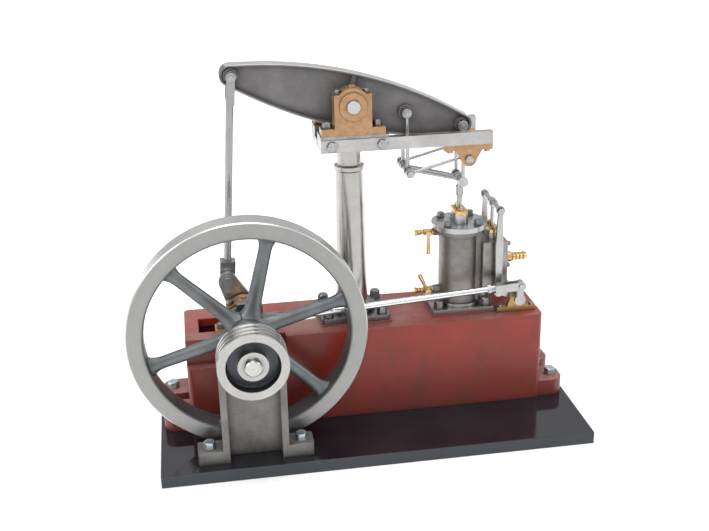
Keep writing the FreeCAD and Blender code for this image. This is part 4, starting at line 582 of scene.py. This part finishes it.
chest_iron = metal("chest_iron", (0.38, 0.365, 0.345), (0.24, 0.228, 0.212), 0.34, 0.012)
finish_node("valve_chest", chest_iron)
finish_node("chest_cover", chest_iron)
finish_node("chest_studs", dark_steel)
finish_node("slide_valve", brass)
satin_steel = metal("satin_steel", (0.54, 0.54, 0.54), (0.41, 0.41, 0.415), 0.25, 0.012, spread=0.06)
for node in ("lifting_links", "valve_spindle", "valve_rocker"):
    finish_node(node, satin_steel)
for node in ("front_rocker_bracket", "back_rocker_bracket"):
    finish_node(node, brass)
for node in ("steam_inlet", "drain_cocks", "upper_cock_lever", "lower_cock_lever"):
    finish_node(node, gland_brass)

# -------------------------------------------------------------------- crankshaft and pulley
# Ground steel shaft, a cast steel web and a turned steel pulley with three grooves.

shaft_steel = turned_metal("ground_shaft", shaft_at, "y", (0.68, 0.68, 0.67), (0.46, 0.46, 0.455), 0.18)
finish_node("crank_shaft", shaft_steel)
finish_node("crank_web", metal("web_steel", (0.60, 0.59, 0.57), (0.37, 0.36, 0.35), 0.34, 0.006))
pulley_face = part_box("belt_pulley")[0][1] - shaft_at.y
pulley_hub = 0.011
pulley_bowl = 0.0194
pulley_steel = turned_metal("turned_pulley", shaft_at, "y", (0.56, 0.55, 0.53), (0.40, 0.39, 0.37),
                            0.26, 0.0005, 0.000015, 0.06)
finish_node("belt_pulley", recessed(pulley_steel, shaft_at, "y", pulley_hub + 0.0002,
                                    pulley_bowl + 0.0003, pulley_face + 0.0006,
                                    (0.085, 0.09, 0.10), 0.42))
finish_node("eccentric_sheave", satin_steel)

# -------------------------------------------------------------------------------- flywheel
# One iron casting: the rim's faces are machined bright, the spokes and hub are left
# dark and smooth from the mould.

wheel_low, wheel_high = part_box("flywheel")
wheel_radius = (wheel_high[0] - wheel_low[0]) / 2
hub_proud = 0.002
rim_front = wheel_low[1] + hub_proud
rim_wide = 0.019
rim_back = rim_front + rim_wide
rim_depth = 0.0127
rim_inner = wheel_radius - rim_depth
rim_middle = (rim_front + rim_back) / 2
hub_radius = 0.0135
first_spoke = math.radians(16.0)


def turned_ring(bm, outline, centre, steps=144):
    """Spin a closed outline of radius and place along Y about a shaft."""
    corners = [bm.verts.new((centre.x + radius, y, centre.z)) for radius, y in outline]
    edges = [bm.edges.new((corners[index - 1], corners[index])) for index in range(len(corners))]
    bmesh.ops.spin(bm, geom=corners + edges, cent=centre, axis=(0, 1, 0), angle=math.tau,
                   steps=steps, use_merge=True)


def oval_arm(bm, stations, sides=28):
    """Bridge ovals set along Z; each station gives its height and two half widths."""
    before = None
    for height, half_x, half_y in stations:
        made = bmesh.ops.create_circle(bm, segments=sides, radius=1.0)["verts"]
        bmesh.ops.transform(bm, matrix=Matrix.Translation((0, 0, height))
                            @ Matrix.Diagonal((half_x, half_y, 1, 1)), verts=made)
        ring = list({edge for vert in made for edge in vert.link_edges})
        if before:
            bmesh.ops.bridge_loops(bm, edges=before + ring)
        before = ring


def keep_mesh(bm, name, finish, body, smooth_angle=35):
    """Turn the built shape into a piece with its finish that rides on a body."""
    bmesh.ops.recalc_face_normals(bm, faces=bm.faces)
    mesh = bpy.data.meshes.new(name)
    bm.to_mesh(mesh)
    bm.free()
    mesh.shade_smooth()
    mesh.set_sharp_from_angle(angle=math.radians(smooth_angle))
    thing = bpy.data.objects.new(name, mesh)
    bpy.context.scene.collection.objects.link(thing)
    mesh.materials.append(finish)
    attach(thing, body)
    return thing


rim_chamfer = 0.0008
rim_steel = turned_metal("machined_rim", shaft_at, "y", (0.78, 0.775, 0.76), (0.62, 0.615, 0.60),
                         0.30, 0.0005, 0.00002, 0.06)
# painted shade: the rim's front, back and inner faces are darkened towards grey; only its outer edge keeps
# the bright machined tone
recessed(rim_steel, shaft_at, "y", 0.0, wheel_radius - rim_chamfer, rim_front - rim_wide - shaft_at.y,
         (0.12, 0.12, 0.115), 0.42, 0.62)
rim_draft = 0.0006
cast_skin = 0.0012
bm = bmesh.new()
turned_ring(bm, [(rim_inner + cast_skin, rim_front), (wheel_radius - rim_chamfer, rim_front),
                 (wheel_radius, rim_front + rim_chamfer), (wheel_radius, rim_back - rim_chamfer),
                 (wheel_radius - rim_chamfer, rim_back), (rim_inner + cast_skin, rim_back)], shaft_at)
rim = keep_mesh(bm, "flywheel_rim", rim_steel, "crankshaft")
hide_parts("flywheel")

wheel_iron = bare_casting("flywheel_iron", (0.21, 0.225, 0.23), (0.12, 0.13, 0.135), 0.38, 0.0008, 0.00012)
bm = bmesh.new()
turned_ring(bm, [(rim_inner, rim_front + 0.0004), (rim_inner + 0.0004, rim_front - 0.00005),
                 (rim_inner + cast_skin, rim_front - 0.00005), (rim_inner + cast_skin * 2, rim_middle),
                 (rim_inner + cast_skin, rim_back + 0.00005), (rim_inner + 0.0004, rim_back + 0.00005),
                 (rim_inner, rim_back - 0.0004), (rim_inner - rim_draft, rim_middle)], shaft_at)
bore_radius = 0.006
round_off = 0.0016
turned_ring(bm, [(bore_radius, wheel_low[1]), (hub_radius - round_off, wheel_low[1]),
                 (hub_radius - round_off * 0.3, wheel_low[1] + round_off * 0.3),
                 (hub_radius, wheel_low[1] + round_off), (hub_radius, wheel_high[1] - round_off),
                 (hub_radius - round_off * 0.3, wheel_high[1] - round_off * 0.3),
                 (hub_radius - round_off, wheel_high[1]), (bore_radius, wheel_high[1])], shaft_at, 96)
spoke_half = 0.0052
spoke_thick = 0.0034
hub_flare = 0.0055
rim_flare = 0.0052
for number in range(6):
    arm = bmesh.new()
    stations = []
    for share in (0.0, 0.035, 0.07, 0.12, 0.19, 0.3, 0.45, 0.6, 0.73, 0.82, 0.88, 0.93, 0.965, 1.0):
        height = hub_radius - 0.003 + (rim_inner - hub_radius + 0.0045) * share
        near_hub = max(0.0, 1.0 - share / 0.2) ** 2
        near_rim = max(0.0, 1.0 - (1.0 - share) / 0.17) ** 2
        taper = 1.12 - 0.22 * share
        stations.append((height, spoke_half * taper + hub_flare * near_hub + rim_flare * near_rim,
                         spoke_thick * taper + (hub_flare * near_hub + rim_flare * near_rim) * 0.55))
    oval_arm(arm, stations)
    angle = math.pi / 2 - first_spoke - math.tau * number / 6
    bmesh.ops.transform(arm, matrix=Matrix.Translation((shaft_at.x, rim_middle, shaft_at.z))
                        @ Matrix.Rotation(angle, 4, "Y"), verts=arm.verts)
    bmesh.ops.recalc_face_normals(arm, faces=arm.faces)
    spoke_mesh = bpy.data.meshes.new("spoke")
    arm.to_mesh(spoke_mesh)
    arm.free()
    bm.from_mesh(spoke_mesh)
casting = keep_mesh(bm, "flywheel_casting", wheel_iron, "crankshaft")

# ---------------------------------------------------------------------- eccentric and rod
# A dark iron strap on the sheave, a flat bar, and a long bright drawn rod to the fork.

finish_node("eccentric_strap", metal("strap_iron", (0.36, 0.35, 0.34), (0.21, 0.20, 0.195), 0.34, 0.005))
bright_rod = metal("drawn_rod", (0.86, 0.88, 0.90), (0.72, 0.74, 0.76), 0.2, 0.01, (0.05, 1.0, 1.0),
                   spread=0.06)
finish_node("eccentric_rod", bright_rod)
finish_node("rod_fork", satin_steel)

# ------------------------------------------------------------------------------------ beam
# A cast iron beam: a rough dark web between two flanges whose edges are machined bright.

end_at = joint_at["connecting_rod_pivot"]
beam_lean = math.atan2(end_at.z - pivot_at.z, pivot_at.x - end_at.x)
beam_half = math.hypot(end_at.z - pivot_at.z, pivot_at.x - end_at.x)
beam_end = 0.0082
beam_middle = 0.0208
beam_flange = 0.0018


def beam_finish():
    """The casting's own dark skin, with bright metal where the outer edge is machined."""
    finish = bare_casting("beam_iron", (0.235, 0.227, 0.232), (0.14, 0.136, 0.14), 0.44, 0.0010, 0.00025)
    tree = finish.node_tree
    shader = tree.nodes["Principled BSDF"]
    shift = tree.nodes.new("ShaderNodeVectorMath")
    shift.operation = "SUBTRACT"
    shift.inputs[1].default_value = pivot_at
    tree.links.new(tree.nodes.new("ShaderNodeTexCoord").outputs["Object"], shift.inputs[0])
    level = tree.nodes.new("ShaderNodeVectorRotate")
    level.rotation_type = "Y_AXIS"
    level.inputs["Angle"].default_value = -beam_lean
    tree.links.new(shift.outputs[0], level.inputs["Vector"])
    split = tree.nodes.new("ShaderNodeSeparateXYZ")
    tree.links.new(level.outputs[0], split.inputs[0])
    share = reckon(tree, "MULTIPLY", split.outputs["X"], 1.0 / beam_half)
    bow = reckon(tree, "SUBTRACT", 1.0, reckon(tree, "MULTIPLY", share, share))
    depth = reckon(tree, "ADD", reckon(tree, "MULTIPLY", bow, beam_middle - beam_end), beam_end)
    rise = tree.nodes.new("ShaderNodeMath")
    rise.operation = "ABSOLUTE"
    tree.links.new(split.outputs["Z"], rise.inputs[0])
    inset = reckon(tree, "SUBTRACT", depth, rise.outputs[0])
    edge = between(tree, inset, beam_flange * 0.25, beam_flange * 0.5, 1.0, 0.0)
    wear = between(tree, speckle(tree, tree.nodes["Texture Coordinate"].outputs["Object"], 0.004, 5.0,
                                 0.6, (0.2, 1.0, 0.2)), 0.3, 0.7, 0.7, 1.0)
    edge = reckon(tree, "MULTIPLY", edge, wear)
    base = shader.inputs["Base Color"].links[0].from_socket
    gloss = shader.inputs["Roughness"].links[0].from_socket
    tree.links.new(blend_colour(tree, edge, base, (0.66, 0.67, 0.62)), shader.inputs["Base Color"])
    smooth = reckon(tree, "MULTIPLY", gloss, reckon(tree, "SUBTRACT", 1.0,
                                                    reckon(tree, "MULTIPLY", edge, 0.35)))
    tree.links.new(smooth, shader.inputs["Roughness"])
    return finish


finish_node("beam", beam_finish())
finish_node("beam_shaft", shaft_steel)
finish_node("beam_pins", satin_steel)

# ---------------------------------------------------------- connecting rod and parallel motion
# Turned and filed steel rods with round eyes and a square steel big end.

rod_steel = metal("rod_steel", (0.44, 0.44, 0.44), (0.33, 0.33, 0.335), 0.27, 0.02, (1.0, 1.0, 0.06),
                  spread=0.05)
finish_node("connecting_rod", rod_steel)
finish_node("big_end", rod_steel)
finish_node("crank_pin", shaft_steel)
for node in ("main_links", "back_links", "radius_rods", "parallel_bars", "cross_shaft", "crosshead"):
    finish_node(node, satin_steel)
finish_node("piston_rod", column_steel)
finish_node("piston", chest_iron)
